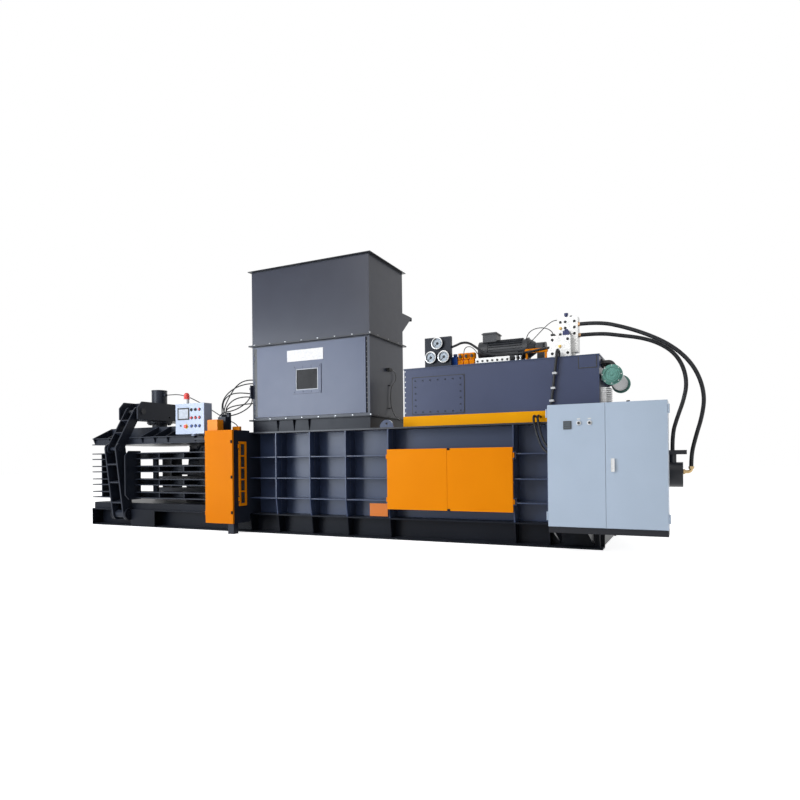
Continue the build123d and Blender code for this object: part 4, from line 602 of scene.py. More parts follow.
COLLAR_PAINT = replace(HOPPER_PAINT, name="hopper_collar_paint", colour=(0.007, 0.009, 0.015),
                       light=(0.012, 0.015, 0.024), gloss=0.15, coat=0.0)
# Painted light: the door's paint is lighter and bluer than the hopper's, to carry the lamp's glare on it; its
# left edge has a strip of painted shadow.
LIT_HATCH_PAINT = replace(HOPPER_PAINT, name="hopper_door_lit_paint", colour=(0.046, 0.061, 0.116), gloss=0.35,
                      light=(0.054, 0.070, 0.130), patches=(gap_shadow_strip(-1.0215, -0.972, 2.035, 3.262),))
# Painted shadow: dark strips in the gaps on both sides of the hopper's door.
DOORWAY_PAINT = replace(
    HOPPER_PAINT, name="hopper_doorway_paint", colour=(0.026, 0.031, 0.050), light=(0.034, 0.041, 0.064),
    patches=(gap_shadow_strip(-1.058, -1.0205, 2.030, 3.268), gap_shadow_strip(1.2405, 1.264, 2.030, 3.268),
             *flange(3.274, 3.340), *flange(1.960, 2.022)))
BLACK = Paint("black_paint", "black", (0.011, 0.014, 0.022), 0.36, light=(0.017, 0.021, 0.033),
              dust=(0.09, 0.10, 0.13), dust_share=0.35, gloss=0.2, coat=0.0, wear=0.04)
# Painted shade: the base frame gets a paint much darker than the rest, for the shade that falls on it under
# the wall's ribs.
SHADED_BASE_PAINT = replace(BLACK, name="shaded_base_paint", colour=(0.004, 0.005, 0.008), light=(0.008, 0.010, 0.016),
                     gloss=0.10, dust_share=0.25)
TIE_TOP_PAINT = replace(
    BLACK, name="tie_valve_paint",
    patches=(Patch((-1.522, -1.352, 1.7805), (-1.298, -1.198, 1.972), ORANGE_TONE),
             Patch((-1.262, -1.012, 1.7805), (-1.103, -0.958, 1.860), ORANGE_TONE)))
ORANGE = Paint("orange_paint", "orange", (0.82, 0.235, 0.001), 0.40, light=(0.88, 0.270, 0.002),
               dust=(0.80, 0.30, 0.03), dust_share=0.25, gloss=0.04, coat=0.0)
BEARER_PAINT = replace(ORANGE, name="bearer_paint", colour=(0.94, 0.380, 0.003), light=(0.97, 0.420, 0.005))
SERVICE_PAINT = replace(
    ORANGE, name="service_door_paint",
    patches=tuple(Patch((SERVICE_SEAM + 0.002, -0.996, z - 0.014),
                        (SERVICE_SEAM + 0.047, SERVICE_FRONT, z + 0.014), BLACK_TONE)
                  for z in (0.489, 1.391)))
COVER_PAINT = replace(
    ORANGE, name="tie_cover_paint", colour=(0.66, 0.175, 0.001), light=(0.71, 0.205, 0.001),
    patches=tuple(Patch((-0.976, -1.410, z - 0.026), (-0.938, -1.3948, z + 0.026), BLACK_TONE)
                  for z in (0.379, 0.980, 1.580)))
PILOT_PAINT = replace(
    ORANGE, name="pilot_valve_paint",
    patches=(Patch((3.070, -0.525, LID_SKIN), (3.615, -0.415, 2.790), STEEL_TONE, 0.7),
             Patch((2.670, -0.525, LID_SKIN), (2.790, -0.395, 2.890), (0.02, 0.07, 0.30))))
CABINET_PAINT = Paint(
    "cabinet_paint", "grey", (0.400, 0.485, 0.590), 0.30, light=(0.460, 0.550, 0.670),
    dust=(0.55, 0.60, 0.66), dust_share=0.2, coat=0.3,
    patches=(Patch((4.546, -1.415, 1.611), (4.654, -1.3952, 1.724), (0.035, 0.038, 0.042)),))
SHELL_PAINT = TwoTonePaint(
    "cabinet_shell_paint", CABINET_PAINT.slot, CABINET_PAINT.colour, CABINET_PAINT.roughness,
    light=CABINET_PAINT.light, dust=CABINET_PAINT.dust, dust_share=0.2, gloss=0.25, coat=0.1,
    below=(0.006, 0.007, 0.012), level=0.342,
    patches=(Patch((5.300, -1.250, 1.9425), (5.360, -1.180, 1.972), BLACK_TONE),))
BOX_PAINT = Paint(
    "control_box_paint", "grey", (0.37, 0.43, 0.56), 0.32, light=(0.41, 0.47, 0.60),
    dust=(0.6, 0.64, 0.70), dust_share=0.2, coat=0.2,
    patches=(Patch((-2.252, -1.160, 1.843), (-2.164, -1.1502, 1.931), (0.85, 0.55, 0.01)),
             Patch((-2.346, -1.180, 1.884), (-2.316, -1.1502, 1.916), BLACK_TONE)))
BARE_STEEL = Steel("bare_steel", "bare_steel", (0.48, 0.47, 0.45), 0.38, stain=(0.26, 0.25, 0.24))
PIN_STEEL = Steel("dark_pin_steel", "bare_steel", (0.030, 0.032, 0.038), 0.40, stain=(0.018, 0.019, 0.022),
                  metallic=0.4)
ZINC = Steel("zinc_plate", "zinc", ZINC_TONE, 0.32, stain=(0.45, 0.45, 0.44))
BOLT_ZINC = replace(ZINC, name="bolt_heads",
                    patches=(Patch((2.050, -0.670, 1.950), (2.950, -0.640, 2.545), (0.030, 0.034, 0.046)),))
CHROME = Steel("hard_chrome", "chrome", (0.80, 0.80, 0.82), 0.12, stain=(0.7, 0.7, 0.72), relief=0.00005)
MACHINED = Steel(
    "machined_block", "machined", (0.74, 0.74, 0.73), 0.30, stain=(0.58, 0.58, 0.57),
    grain=(30.0, 30.0, 500.0), metallic=0.65,
    patches=(Patch((4.5785, -0.345, 3.150), (4.700, -0.250, 3.240), COPPER_TONE),
             Patch((4.5785, -0.260, 3.000), (4.700, -0.170, 3.100), COPPER_TONE)))
BRASS = Steel("brass_fitting", "machined", (0.62, 0.42, 0.16), 0.3, stain=(0.42, 0.28, 0.10))
CAST = Casting("motor_casting", "cast", (0.012, 0.014, 0.018), 0.42, light=(0.028, 0.031, 0.038))
GREEN = Casting(
    "green_casting", "cast_green", (0.085, 0.26, 0.21), 0.34, light=(0.15, 0.37, 0.31),
    patches=(Patch((4.900, -0.5495, 2.270), (5.190, 0.6595, 2.5045), (0.16, 0.17, 0.18), 0.6),
             Patch((4.900, -0.470, 2.5045), (5.150, -0.150, 2.680), BLACK_TONE)))
BLACK_PLASTIC = Plastic("black_plastic", "black_plastic", (0.012, 0.012, 0.013), 0.42)
RED_PLASTIC = Plastic("red_plastic", "red_plastic", (0.70, 0.015, 0.02), 0.25)
BLUE_PLASTIC = Plastic("blue_plastic", "black_plastic", (0.02, 0.08, 0.36), 0.3)
NAVY_PLASTIC = Plastic("navy_plastic", "black_plastic", (0.012, 0.022, 0.12), 0.3)
WHITE_PLASTIC = Plastic("white_plastic", "grey", (0.78, 0.78, 0.77), 0.38)
SCREEN_GLASS = Plastic("screen_glass", "black_plastic", (0.50, 0.54, 0.60), 0.12)
DIAL = Plastic("dial_face", "grey", (0.46, 0.53, 0.60), 0.5)
PLATE_WHITE = Plastic("bare_plate", "grey", (0.76, 0.74, 0.73), 0.35)
RUBBER = HoseCover("hose_cover", "hose", (0.009, 0.009, 0.011), 0.38)
CABLE_SKIN = Plastic("cable_skin", "hose", (0.010, 0.010, 0.011), 0.38)
WINDOW = WiredGlass("wired_window", "window", (0.010, 0.010, 0.011), 0.30)
GEAR_PLATE = Plastic("gear_plate", "grey", (0.50, 0.51, 0.51), 0.45)
METER_GLASS = Plastic("meter_glass", "black_plastic", (0.10, 0.12, 0.14), 0.15)
SEAL = Plastic("window_seal", "grey", (0.42, 0.44, 0.48), 0.35)
ALLOY = Steel("finned_alloy", "machined", (0.70, 0.70, 0.70), 0.35, stain=(0.50, 0.50, 0.50), metallic=0.6)
WELD = Steel("weld_metal", "zinc", (0.30, 0.32, 0.36), 0.4, stain=(0.20, 0.21, 0.24))

NODE_FINISHES: dict[Finish, list[str]] = {
    GRAPHITE: ["rear_wall", "chamber_roof", "end_bulkhead", "ram", "tank_lid"],
    WALL_PAINT: ["front_wall"],
    TANK_PAINT: ["oil_tank"],
    CYLINDER_PAINT: ["main_cylinder"],
    HOPPER_PAINT: ["hopper_upper"],
    COLLAR_PAINT: ["hopper_collar"],
    LIT_HATCH_PAINT: ["hopper_door"],
    DOORWAY_PAINT: ["hopper_lower"],
    SHADED_BASE_PAINT: ["base_frame"],
    BLACK: ["front_clamp_wall", "rear_clamp_wall", "press_plate", "front_arm", "rear_arm",
            "front_link", "rear_link", "yoke", "tension_cylinder", "tie_frame", "gauge_panel"],
    TIE_TOP_PAINT: ["tie_valve"],
    ORANGE: ["guard_door"],
    BEARER_PAINT: ["tank_bearers"],
    COVER_PAINT: ["tie_cover"],
    PILOT_PAINT: ["pilot_valves"],
    SERVICE_PAINT: ["left_service_door", "right_service_door"],
    CABINET_PAINT: ["cabinet_left_door", "cabinet_right_door"],
    SHELL_PAINT: ["cabinet_shell"],
    BOX_PAINT: ["operator_box"],
    BARE_STEEL: ["shear_blade", "ram_blade", "twister", "needle_carriage"],
    PIN_STEEL: ["yoke_pins"],
    ZINC: ["cabinet_handle"],
    GEAR_PLATE: ["cabinet_gear"],
    BOLT_ZINC: ["body_bolts"],
    CHROME: ["piston_rod", "tension_rod"],
    MACHINED: ["valve_manifold"],
    NAVY_PLASTIC: ["valve_knob"],
    CAST: ["motor", "pump"],
    GREEN: ["oil_cooler"],
    BLACK_PLASTIC: ["level_sensor"],
    RED_PLASTIC: ["stop_button", "beacon"],
    WINDOW: ["window_pane"],
}


# Meshes

# Radius in metres under which a turned form meets its axis

TIP = 1e-6


@dataclass
class Piece:
    """Mesh of one piece, built part by part and then set on its body.

    Attributes:
        name: Name of the piece.
        finish: Its finish.
        body: Body that it rides on.
        mesh: Working mesh.
    """

    name: str
    finish: Finish
    body: str = "press_body"
    mesh: bmesh.types.BMesh = field(default_factory=bmesh.new)

    def box(self, low: Point, high: Point) -> "Piece":
        """Adds a rectangular block.

        Args:
            low: Lowest corner.
            high: Highest corner.

        Returns:
            This piece.
        """
        middle = (Vector(low) + Vector(high)) / 2
        size = Vector(high) - Vector(low)
        matrix = Matrix.Translation(middle) @ Matrix.Diagonal((*size, 1.0))
        bmesh.ops.create_cube(self.mesh, size=1.0, matrix=matrix)
        return self

    def border(self, outer: Edges, inner: Edges, back: float, front: float, posts: bool = True) -> "Piece":
        """Adds an upright rectangular frame of four strips.

        Args:
            outer: Its outer edge: lowest X and Z, highest X and Z.
            inner: Its opening in the same form.
            back: Lowest Y.
            front: Highest Y.
            posts: True if the upright strips take the corners, False if the level ones do.

        Returns:
            This piece.
        """
        x0, z0, x1, z1 = outer
        left, low, right, high = inner
        strips = [(x0, z0, left, z1), (right, z0, x1, z1), (left, z0, right, low), (left, high, right, z1)]
        if not posts:
            strips = [(x0, z0, x1, low), (x0, high, x1, z1), (x0, low, left, high), (right, low, x1, high)]
        for x, z, x_end, z_end in strips:
            self.box((x, back, z), (x_end, front, z_end))
        return self

    def turned(self, axis: Axis, centre: Point, profile: Profile, steps: int) -> "Piece":
        """Adds a turned form.

        Args:
            axis: Direction of its axis.
            centre: Point on the axis that the profile starts from.
            profile: Pairs of distance along the axis and radius, from end to end. A profile that ends
                where it starts makes a ring.
            steps: Facets round the axis.

        Returns:
            This piece.
        """
        units = Matrix.Identity(3)
        along, side = units[axis.value], units[(axis.value + 1) % 3]
        up = along.cross(side)
        rings = []
        closed = profile[0] == profile[-1]
        for height, radius in profile[:-1] if closed else profile:
            base = Vector(centre) + along * height
            if radius < TIP:
                rings.append([self.mesh.verts.new(base)])
                continue
            turns = [2 * math.pi * i / steps for i in range(steps)]
            spokes = [side * math.cos(turn) + up * math.sin(turn) for turn in turns]
            rings.append([self.mesh.verts.new(base + spoke * radius) for spoke in spokes])
        for first, second in zip(rings, rings[1:] + rings[:1] if closed else rings[1:]):
            for i in range(steps):
                j = (i + 1) % steps
                corners = [first[i % len(first)], first[j % len(first)], second[j % len(second)],
                           second[i % len(second)]]
                self.mesh.faces.new(list(dict.fromkeys(corners)))
        for ring, flip in ((rings[0], True), (rings[-1], False)):
            if len(ring) > 1 and not closed:
                self.mesh.faces.new(ring[::-1] if flip else ring)
        return self

    def done(self, bevel: float = 0.0, smooth: bool = False) -> bpy.types.Object:
        """Closes the mesh and sets the piece on its body.

        Args:
            bevel: Width of the broken edges, or 0.
            smooth: True for round forms.

        Returns:
            The finished object.
        """
        bmesh.ops.recalc_face_normals(self.mesh, faces=self.mesh.faces)
        data = bpy.data.meshes.new(self.name)
        self.mesh.to_mesh(data)
        self.mesh.free()
        made = placed(self.name, data)
        if bevel:
            edge = made.modifiers.new("broken edges", "BEVEL")
            edge.width = bevel
            edge.segments = 2
            edge.limit_method = "ANGLE"
        if smooth:
            data.polygons.foreach_set("use_smooth", [True] * len(data.polygons))
            data.set_sharp_from_angle(angle=math.radians(35))
        return dress(made, self.body, self.finish)


def placed(name: str, data: bpy.types.ID) -> bpy.types.Object:
    """Makes an object of the data and puts it into the scene.

    Args:
        name: Name of the object.
        data: Its mesh, curve, lamp or camera.

    Returns:
        The object.
    """
    made = bpy.data.objects.new(name, data)
    bpy.context.scene.collection.objects.link(made)
    return made


def dress(made: bpy.types.Object, body: str, finish: Finish) -> bpy.types.Object:
    """Gives a piece its finish and its body, and logs it.

    Args:
        made: The piece.
        body: Body that it rides on.
        finish: Its finish.

    Returns:
        The same piece.
    """
    made.data.materials.clear()
    made.data.materials.append(finish.material())
    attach(made, body)
    LOG.info("piece %s rides on %s", made.name, body)
    return made


# Drums of the two kinds of screw, of unit size: sides, radius, depth and height of the middle

DRUMS = {Shape.HEX_BOLT: ((6, 0.46, 0.72, 0.52), (20, 0.5, 0.24, 0.12)),
         Shape.SOCKET_SCREW: ((20, 0.5, 0.8, 0.4), (6, 0.22, 0.1, 0.82))}


@dataclass
class Row:
    """Small parts repeated at given points by a Geometry Nodes tree.

    Attributes:
        name: Name of the piece.
        finish: Its finish.
        shape: What is repeated.
        size: Size along its own X, Y and Z in metres; a round part's is its diameter and height.
        points: Places in metres.
        turn: Turn of each part in degrees, its own Z pointing away from the surface.
        body: Body that it rides on.
    """

    name: str
    finish: Finish
    shape: Shape
    size: Point
    points: list[Point]
    turn: Point = TO_FRONT
    body: str = "press_body"

    def tree(self) -> bpy.types.NodeTree:
        """Builds the tree with its named inputs.

        Returns:
            The node tree.
        """
        tree = bpy.data.node_groups.new(self.name, "GeometryNodeTree")
        sockets = (("Places", "INPUT", "Geometry"), ("Part size", "INPUT", "Vector"),
                   ("Part turn", "INPUT", "Vector"), ("Finish", "INPUT", "Material"),
                   ("Parts", "OUTPUT", "Geometry"))
        for key, side, kind in sockets:
            tree.interface.new_socket(key, in_out=side, socket_type="NodeSocket" + kind)
        start = tree.nodes.new("NodeGroupInput").outputs
        end = tree.nodes.new("NodeGroupOutput").inputs
        spread = tree.nodes.new("GeometryNodeInstanceOnPoints")
        real = tree.nodes.new("GeometryNodeRealizeInstances")
        paint = tree.nodes.new("GeometryNodeSetMaterial")
        turn = tree.nodes.new("FunctionNodeEulerToRotation")
        for source, target in ((start["Places"], spread.inputs["Points"]),
                               (self.part(tree), spread.inputs["Instance"]),
                               (start["Part turn"], turn.inputs[0]),
                               (turn.outputs[0], spread.inputs["Rotation"]),
                               (start["Part size"], spread.inputs["Scale"]),
                               (spread.outputs["Instances"], real.inputs[0]),
                               (real.outputs[0], paint.inputs["Geometry"]),
                               (start["Finish"], paint.inputs["Material"]),
                               (paint.outputs["Geometry"], end[0])):
            tree.links.new(source, target)
        return tree

    def part(self, tree: bpy.types.NodeTree) -> Socket:
        """Makes one part of unit size, standing on its point.

        Args:
            tree: Tree that the nodes go into.

        Returns:
            The part's geometry output.
        """
        if self.shape in (Shape.WELD_BEAD, Shape.RIVET):
            ball = tree.nodes.new("GeometryNodeMeshUVSphere")
            for key, value in (("Segments", 10), ("Rings", 6), ("Radius", 0.5)):
                ball.inputs[key].default_value = value
            return ball.outputs["Mesh"]
        if self.shape is Shape.BAR:
            return tree.nodes.new("GeometryNodeMeshCube").outputs["Mesh"]
        join = tree.nodes.new("GeometryNodeJoinGeometry")
        for sides, radius, depth, middle in DRUMS[self.shape]:
            drum = tree.nodes.new("GeometryNodeMeshCylinder")
            for key, value in (("Vertices", sides), ("Radius", radius), ("Depth", depth)):
                drum.inputs[key].default_value = value
            move = tree.nodes.new("GeometryNodeTransform")
            move.inputs["Translation"].default_value = (0.0, 0.0, middle)
            tree.links.new(drum.outputs["Mesh"], move.inputs["Geometry"])
            tree.links.new(move.outputs["Geometry"], join.inputs[0])
        return join.outputs[0]

    def done(self) -> bpy.types.Object:
        """Runs the tree and keeps its result as a plain mesh.

        Returns:
            The finished object.
        """
        places = bpy.data.meshes.new(self.name + "_places")
        places.from_pydata(self.points, [], [])
        source = placed(self.name + "_source", places)
        tree = self.tree()
        step = source.modifiers.new("row", "NODES")
        step.node_group = tree
        values = {"Part size": self.size, "Part turn": tuple(math.radians(a) for a in self.turn),
                  "Finish": self.finish.material()}
        for item in tree.interface.items_tree:
            if item.name in values:
                step[item.identifier] = values[item.name]
        solved = source.evaluated_get(bpy.context.evaluated_depsgraph_get())
        made = placed(self.name, bpy.data.meshes.new_from_object(solved))
        made.data.name = self.name
        bpy.data.objects.remove(source)
        return dress(made, self.body, self.finish)


@dataclass
class HoseLine:
    """A hose or cable on a smooth spline.

    Attributes:
        name: Name of the piece.
        diameter: Outer diameter in metres.
        length: Real length in metres; not used.
        points: Control points in millimetres.
        replaces: CAD node that it stands for, or an empty string.
        stiffness: How stiff it is; not used.
        finish: Its cover.
        body: Body that it rides on.
    """

    name: str
    diameter: float
    length: float
    points: list[Point]
    replaces: str = ""
    stiffness: str = "medium"
    finish: Finish = RUBBER
    body: str = "press_body"

    def done(self) -> bpy.types.Object:
        """Returns:
            The finished curve.
        """
        curve = bpy.data.curves.new(self.name, "CURVE")
        curve.dimensions = "3D"
        curve.bevel_depth = self.diameter / 2
        curve.bevel_resolution = 6
        curve.use_fill_caps = True
        line = curve.splines.new("NURBS")
        line.points.add(len(self.points) - 1)
        for knot, (x, y, z) in zip(line.points, self.points):
            knot.co = (x / 1000, y / 1000, z / 1000, 1.0)
        line.order_u = 3
        line.use_endpoint_u = True
        line.resolution_u = 12
        made = placed(self.name, curve)
        dress(made, self.body, self.finish)
        if self.replaces:
            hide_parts(self.replaces)
        return made


def spaced(first: float, last: float, count: int) -> list[float]:
    """Gives evenly spaced values with both ends."""
    return [first + (last - first) * i / (count - 1) for i in range(count)]


# Studio


@dataclass
class Studio:
    """Floor, light and the photograph's camera."""

    place: Point = (6.0205, -9.472, 1.25)
    yaw: float = 25.364
    pitch: float = 0.108
    roll: float = -0.637
    lens: float = 27.42
    shift_up: float = 0.0726
    ambient: float = 0.36
    glow: float = 0.80

    def camera(self) -> None:
        """Sets the camera where the photograph was taken."""
        lens = bpy.data.cameras.new("photo_camera")
        lens.lens = self.lens
        lens.sensor_width = 36.0
        lens.shift_y = self.shift_up
        lens.clip_end = 200.0
        made = placed("photo_camera", lens)
        turn = Matrix.Rotation(math.radians(self.yaw), 4, "Z")
        turn = turn @ Matrix.Rotation(math.radians(90 + self.pitch), 4, "X")
        turn = turn @ Matrix.Rotation(math.radians(self.roll), 4, "Z")
        made.matrix_world = Matrix.Translation(self.place) @ turn
        bpy.context.scene.camera = made

    def seen_directly(self, tree: bpy.types.NodeTree) -> Socket:
        """Tells the rays that show the background from those that light the object.

        Args:
            tree: Node tree of the world or the floor.

        Returns:
            1 for camera, glossy and transmission rays, else 0.
        """
        path = tree.nodes.new("ShaderNodeLightPath")
        total = path.outputs["Is Camera Ray"]
        for key in ("Is Glossy Ray", "Is Transmission Ray"):
            add = tree.nodes.new("ShaderNodeMath")
            add.operation = "MAXIMUM"
            tree.links.new(total, add.inputs[0])
            tree.links.new(path.outputs[key], add.inputs[1])
            total = add.outputs[0]
        return total

    def world(self) -> None:
        """White surroundings that light the object softly."""
        world = bpy.data.worlds.new("studio")
        world.use_nodes = True
        tree = world.node_tree
        sky = tree.nodes["Background"]
        sky.inputs["Color"].default_value = (1.0, 1.0, 1.0, 1.0)
        strength = tree.nodes.new("ShaderNodeMapRange")
        strength.inputs["To Min"].default_value = self.ambient
        strength.inputs["To Max"].default_value = 1.0
        tree.links.new(self.seen_directly(tree), strength.inputs["Value"])
        tree.links.new(strength.outputs["Result"], sky.inputs["Strength"])
        bpy.context.scene.world = world

    def floor(self) -> None:
        """Pale floor that keeps the object's shadow."""
        data = bpy.data.meshes.new("floor")
        half = 60.0
        data.from_pydata([(-half, -half, 0), (half, -half, 0), (half, half, 0), (-half, half, 0)], [],
                         [(0, 1, 2, 3)])
        made = placed("floor", data)
        pale = bpy.data.materials.new("pale_floor")
        pale.use_nodes = True
        nodes = Nodes(pale.node_tree)
        nodes.feed("Base Color", (0.86, 0.86, 0.86, 1.0))
        nodes.feed("Roughness", 0.9)
        nodes.feed("Specular IOR Level", 0.1)
        nodes.feed("Emission Color", (1.0, 1.0, 1.0, 1.0))
        nodes.feed("Emission Strength", nodes.maths("MULTIPLY", self.seen_directly(nodes.tree), self.glow))
        data.materials.append(pale)

    def lamp(self, name: str, place: Point, target: Point, size: float, power: float,
             colour: Colour = (1.0, 1.0, 1.0)) -> None:
        """Adds a large soft lamp.

        Args:
            name: Name of the lamp.
            place: Where it stands.
            target: What it points at.
            size: Side of its square.
            power: Power in watts.
            colour: Colour of its light.
        """
        light = bpy.data.lights.new(name, "AREA")
        light.size = size
        light.energy = power
        light.color = colour
        made = placed(name, light)
        made.location = place
        made.rotation_euler = (Vector(target) - Vector(place)).to_track_quat("-Z", "Y").to_euler()

    def build(self) -> None:
        """Makes the whole studio."""
        self.camera()
        self.world()
        self.floor()
        self.lamp("key_lamp", (-3.0, -16.0, 11.0), (0.5, 0.0, 1.5), 9.0, 1000.0)
        self.lamp("window_lamp", (-8.0, -12.0, 3.0), (-0.5, -0.5, 1.6), 6.5, 1250.0, colour=(0.84, 0.91, 1.0))
        self.lamp("side_lamp", (17.0, -4.0, 8.0), (3.0, 0.0, 1.6), 7.0, 130.0)
        self.lamp("back_lamp", (-3.0, 15.0, 10.0), (0.0, 0.0, 2.0), 9.0, 900.0)
        bpy.context.scene.view_settings.view_transform = "Standard"
        LOG.info("studio is ready")


# Sub-assemblies


@dataclass
class Hoses:
    """All free hoses and cables of the machine, by their diameters in metres."""

    main: float = 0.056
    drive: float = 0.036
    conduit: float = 0.034
    tie: float = 0.020
    tension: float = 0.018
    cable: float = 0.013
    thin: float = 0.012
    gauge: float = 0.010

    def build(self) -> None:
        """Makes every hose in turn."""
        for line in (*self.feed_lines(), *self.lid_lines(), *self.tie_lines(), self.sensor_line()):
            line.done()

    def feed_lines(self) -> list[HoseLine]:
        """Hoses that the CAD model has too.

        Returns:
            The hoses in their order.
        """
        return [
            HoseLine("main_pressure_hose", self.main, 3.147, [
                (4605, -300, 3195), (4880, -300, 3195), (5200, -285, 3098), (5520, -280, 2960),
                (5800, -270, 2795), (6020, -235, 2590), (6160, -185, 2350), (6226, -125, 2070),
                (6192, -70, 1800), (6110, -25, 1520), (6050, 0, 1265), (6050, 0, 1105),
            ], "main_hose_outer", "stiff"),
            HoseLine("return_hose", self.main, 2.749, [
                (4605, -215, 3050), (4880, -215, 3050), (5160, -202, 2992), (5430, -195, 2935),
                (5660, -180, 2842), (5850, -155, 2697), (5965, -125, 2500), (6008, -90, 2260),
                (5962, -60, 2030), (5880, -35, 1800), (5812, 0, 1570), (5812, 0, 1336),
            ], "main_hose_inner", "stiff"),
            HoseLine("tie_feed_hose", self.tie, 1.121, [
                (-1640, -900, 1790), (-1640, -900, 1880), (-1655, -920, 1985), (-1600, -940, 2085),
                (-1490, -945, 2130), (-1370, -920, 2140), (-1260, -850, 2190), (-1170, -745, 2290),
                (-1130, -660, 2410), (-1130, -660, 2530),
            ], "tie_hose_outer"),
            HoseLine("tie_drain_hose", self.tie, 0.988, [
                (-1590, -860, 1790), (-1590, -860, 1870), (-1600, -880, 1960), (-1550, -900, 2030),
                (-1460, -905, 2060), (-1350, -885, 2070), (-1245, -820, 2110), (-1165, -720, 2190),
                (-1130, -620, 2290), (-1130, -620, 2400),
            ], "tie_hose_inner"),
            HoseLine("tension_feed_hose", self.tension, 2.617, [
                (-3890, 0, 2650), (-3740, 0, 2650), (-3530, -50, 2640), (-3290, -120, 2600),
                (-3030, -200, 2535), (-2760, -280, 2440), (-2490, -350, 2330), (-2230, -410, 2210),
                (-1990, -440, 2090), (-1800, -460, 2010), (-1650, -475, 1955), (-1570, -480, 1875),
                (-1570, -480, 1790),
            ], "tension_hose", body="yoke_unit"),
        ]

    def lid_lines(self) -> list[HoseLine]:
        """Hoses and cables on the tank's lid, and the conduits to the cabinet.

        Returns:
            The hoses in their order.
        """
        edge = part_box("tank_bearers")[0].y * 1000
        return [
            HoseLine("drive_hose", self.drive, 1.580, [
                (2708, -555, 2985), (2770, -552, 3002), (2860, -535, 3044), (2968, -500, 3040),
                (3075, -475, 2960), (3185, -465, 2872), (3340, -462, 2824), (3650, -462, 2810),
                (3930, -462, 2826), (4090, -450, 2855), (4200, -440, 2866),
            ], stiffness="stiff"),
            HoseLine("motor_cable", self.cable, 0.580, [
                (3817, -300, 3049), (3827, -322, 3090), (3880, -350, 3148), (3965, -380, 3178),
                (4065, -400, 3180), (4160, -415, 3150), (4224, -425, 3100), (4240, -428, 3055),
                (4240, -428, 3015),
            ], finish=CABLE_SKIN),
            HoseLine("pilot_line", self.thin, 0.860, [
                (3790, -520, 2687), (3790, -520, 2745), (3820, -515, 2830), (3900, -495, 2935),
                (4010, -450, 3060), (4110, -390, 3180), (4190, -335, 3260), (4245, -300, 3288),
                (4286, -285, 3290),
            ]),
            HoseLine("coil_line", self.thin, 0.450, [
                (2870, -460, 2883), (2870, -460, 2935), (2905, -450, 2988), (2975, -440, 2990),
                (3035, -432, 2940), (3080, -432, 2875), (3120, -442, 2825), (3150, -450, 2782),
            ]),
            HoseLine("gauge_line", self.gauge, 0.240, [
                (2708, -560, 2860), (2740, -560, 2860), (2780, -560, 2845), (2798, -560, 2800),
                (2800, -560, 2750), (2800, -560, 2687),
            ]),
            HoseLine("cabinet_conduit", self.conduit, 0.930, [
                (4030, edge, 1842), (4032, edge - 90, 1849), (4042, -860, 1846), (4060, -960, 1790),
                (4090, -1015, 1680), (4135, -1035, 1530), (4190, -1045, 1400), (4258, -1065, 1320),
                (4342, -1090, 1280),
            ]),
            HoseLine("control_conduit", self.conduit, 0.840, [
                (4090, edge, 1842), (4092, edge - 90, 1849), (4102, -860, 1846), (4118, -960, 1792),
                (4145, -1015, 1690), (4180, -1035, 1570), (4222, -1045, 1460), (4275, -1065, 1390),
                (4342, -1090, 1355),
            ]),
        ]

    def tie_lines(self) -> list[HoseLine]:
        """Thin hoses that loop from the tie unit's valve to the hopper's side.

        Returns:
            The hoses in their order.
        """
        return [HoseLine(name, self.tie, length, points) for name, length, points in (
            ("tie_line_high", 0.960, [
                (-1430, -1080, 2080), (-1430, -1080, 2160), (-1445, -1060, 2270), (-1420, -1010, 2400),
                (-1350, -930, 2510), (-1270, -830, 2590), (-1190, -700, 2640), (-1130, -600, 2655),
                (-1094, -560, 2655)]),
            ("tie_line_outer", 0.990, [
                (-1385, -1080, 2080), (-1385, -1080, 2150), (-1350, -1070, 2260), (-1300, -1010, 2420),
                (-1270, -920, 2560), (-1230, -810, 2660), (-1180, -690, 2710), (-1130, -590, 2720),
                (-1094, -540, 2720)]),
            ("tie_line_inner", 0.820, [
                (-1385, -1035, 2080), (-1385, -1035, 2150), (-1360, -1010, 2240), (-1300, -930, 2340),
                (-1240, -820, 2390), (-1180, -690, 2410), (-1130, -560, 2400), (-1094, -460, 2390)]),
            ("tie_line_middle", 0.990, [
                (-1430, -1035, 2080), (-1430, -1035, 2150), (-1475, -1010, 2230), (-1490, -960, 2340),
                (-1430, -890, 2440), (-1330, -790, 2480), (-1230, -660, 2480), (-1150, -520, 2470),
                (-1094, -430, 2465)]),
            ("tie_line_low", 0.750, [
                (-1430, -990, 2080), (-1430, -990, 2130), (-1395, -960, 2195), (-1320, -890, 2235),
                (-1240, -790, 2260), (-1170, -660, 2285), (-1125, -530, 2300), (-1094, -440, 2305)]),
        )]

    def sensor_line(self) -> HoseLine:
        """Cable of the level sensor, which the CAD model has too.

        Returns:
            The cable.
        """
        return HoseLine("level_sensor_cable", self.thin, 1.550, [
            (1335, 110, 2807), (1335, 187, 2807), (1338, 255, 2765), (1340, 275, 2690),
            (1340, 235, 2620), (1338, 160, 2575), (1334, 95, 2510), (1333, 68, 2420),
            (1333, 64, 2300), (1335, 75, 2160), (1385, 70, 2045), (1450, 72, 1955),
            (1545, 76, 1890), (1660, 80, 1850), (1785, 76, 1840), (1904, 76, 1840),
        ], "sensor_cable", "limp", CABLE_SKIN)


def grown(edges: Edges, by: float) -> Edges:
    """Moves all four edges of a rectangle outward, or inward by less than 0."""
    x0, z0, x1, z1 = edges
    return (x0 - by, z0 - by, x1 + by, z1 + by)


def ring(radius: float, section: Profile) -> Profile:
    """Sets a section of heights and reaches on a circle of some radius."""
    return [(height, radius + reach) for height, reach in section]


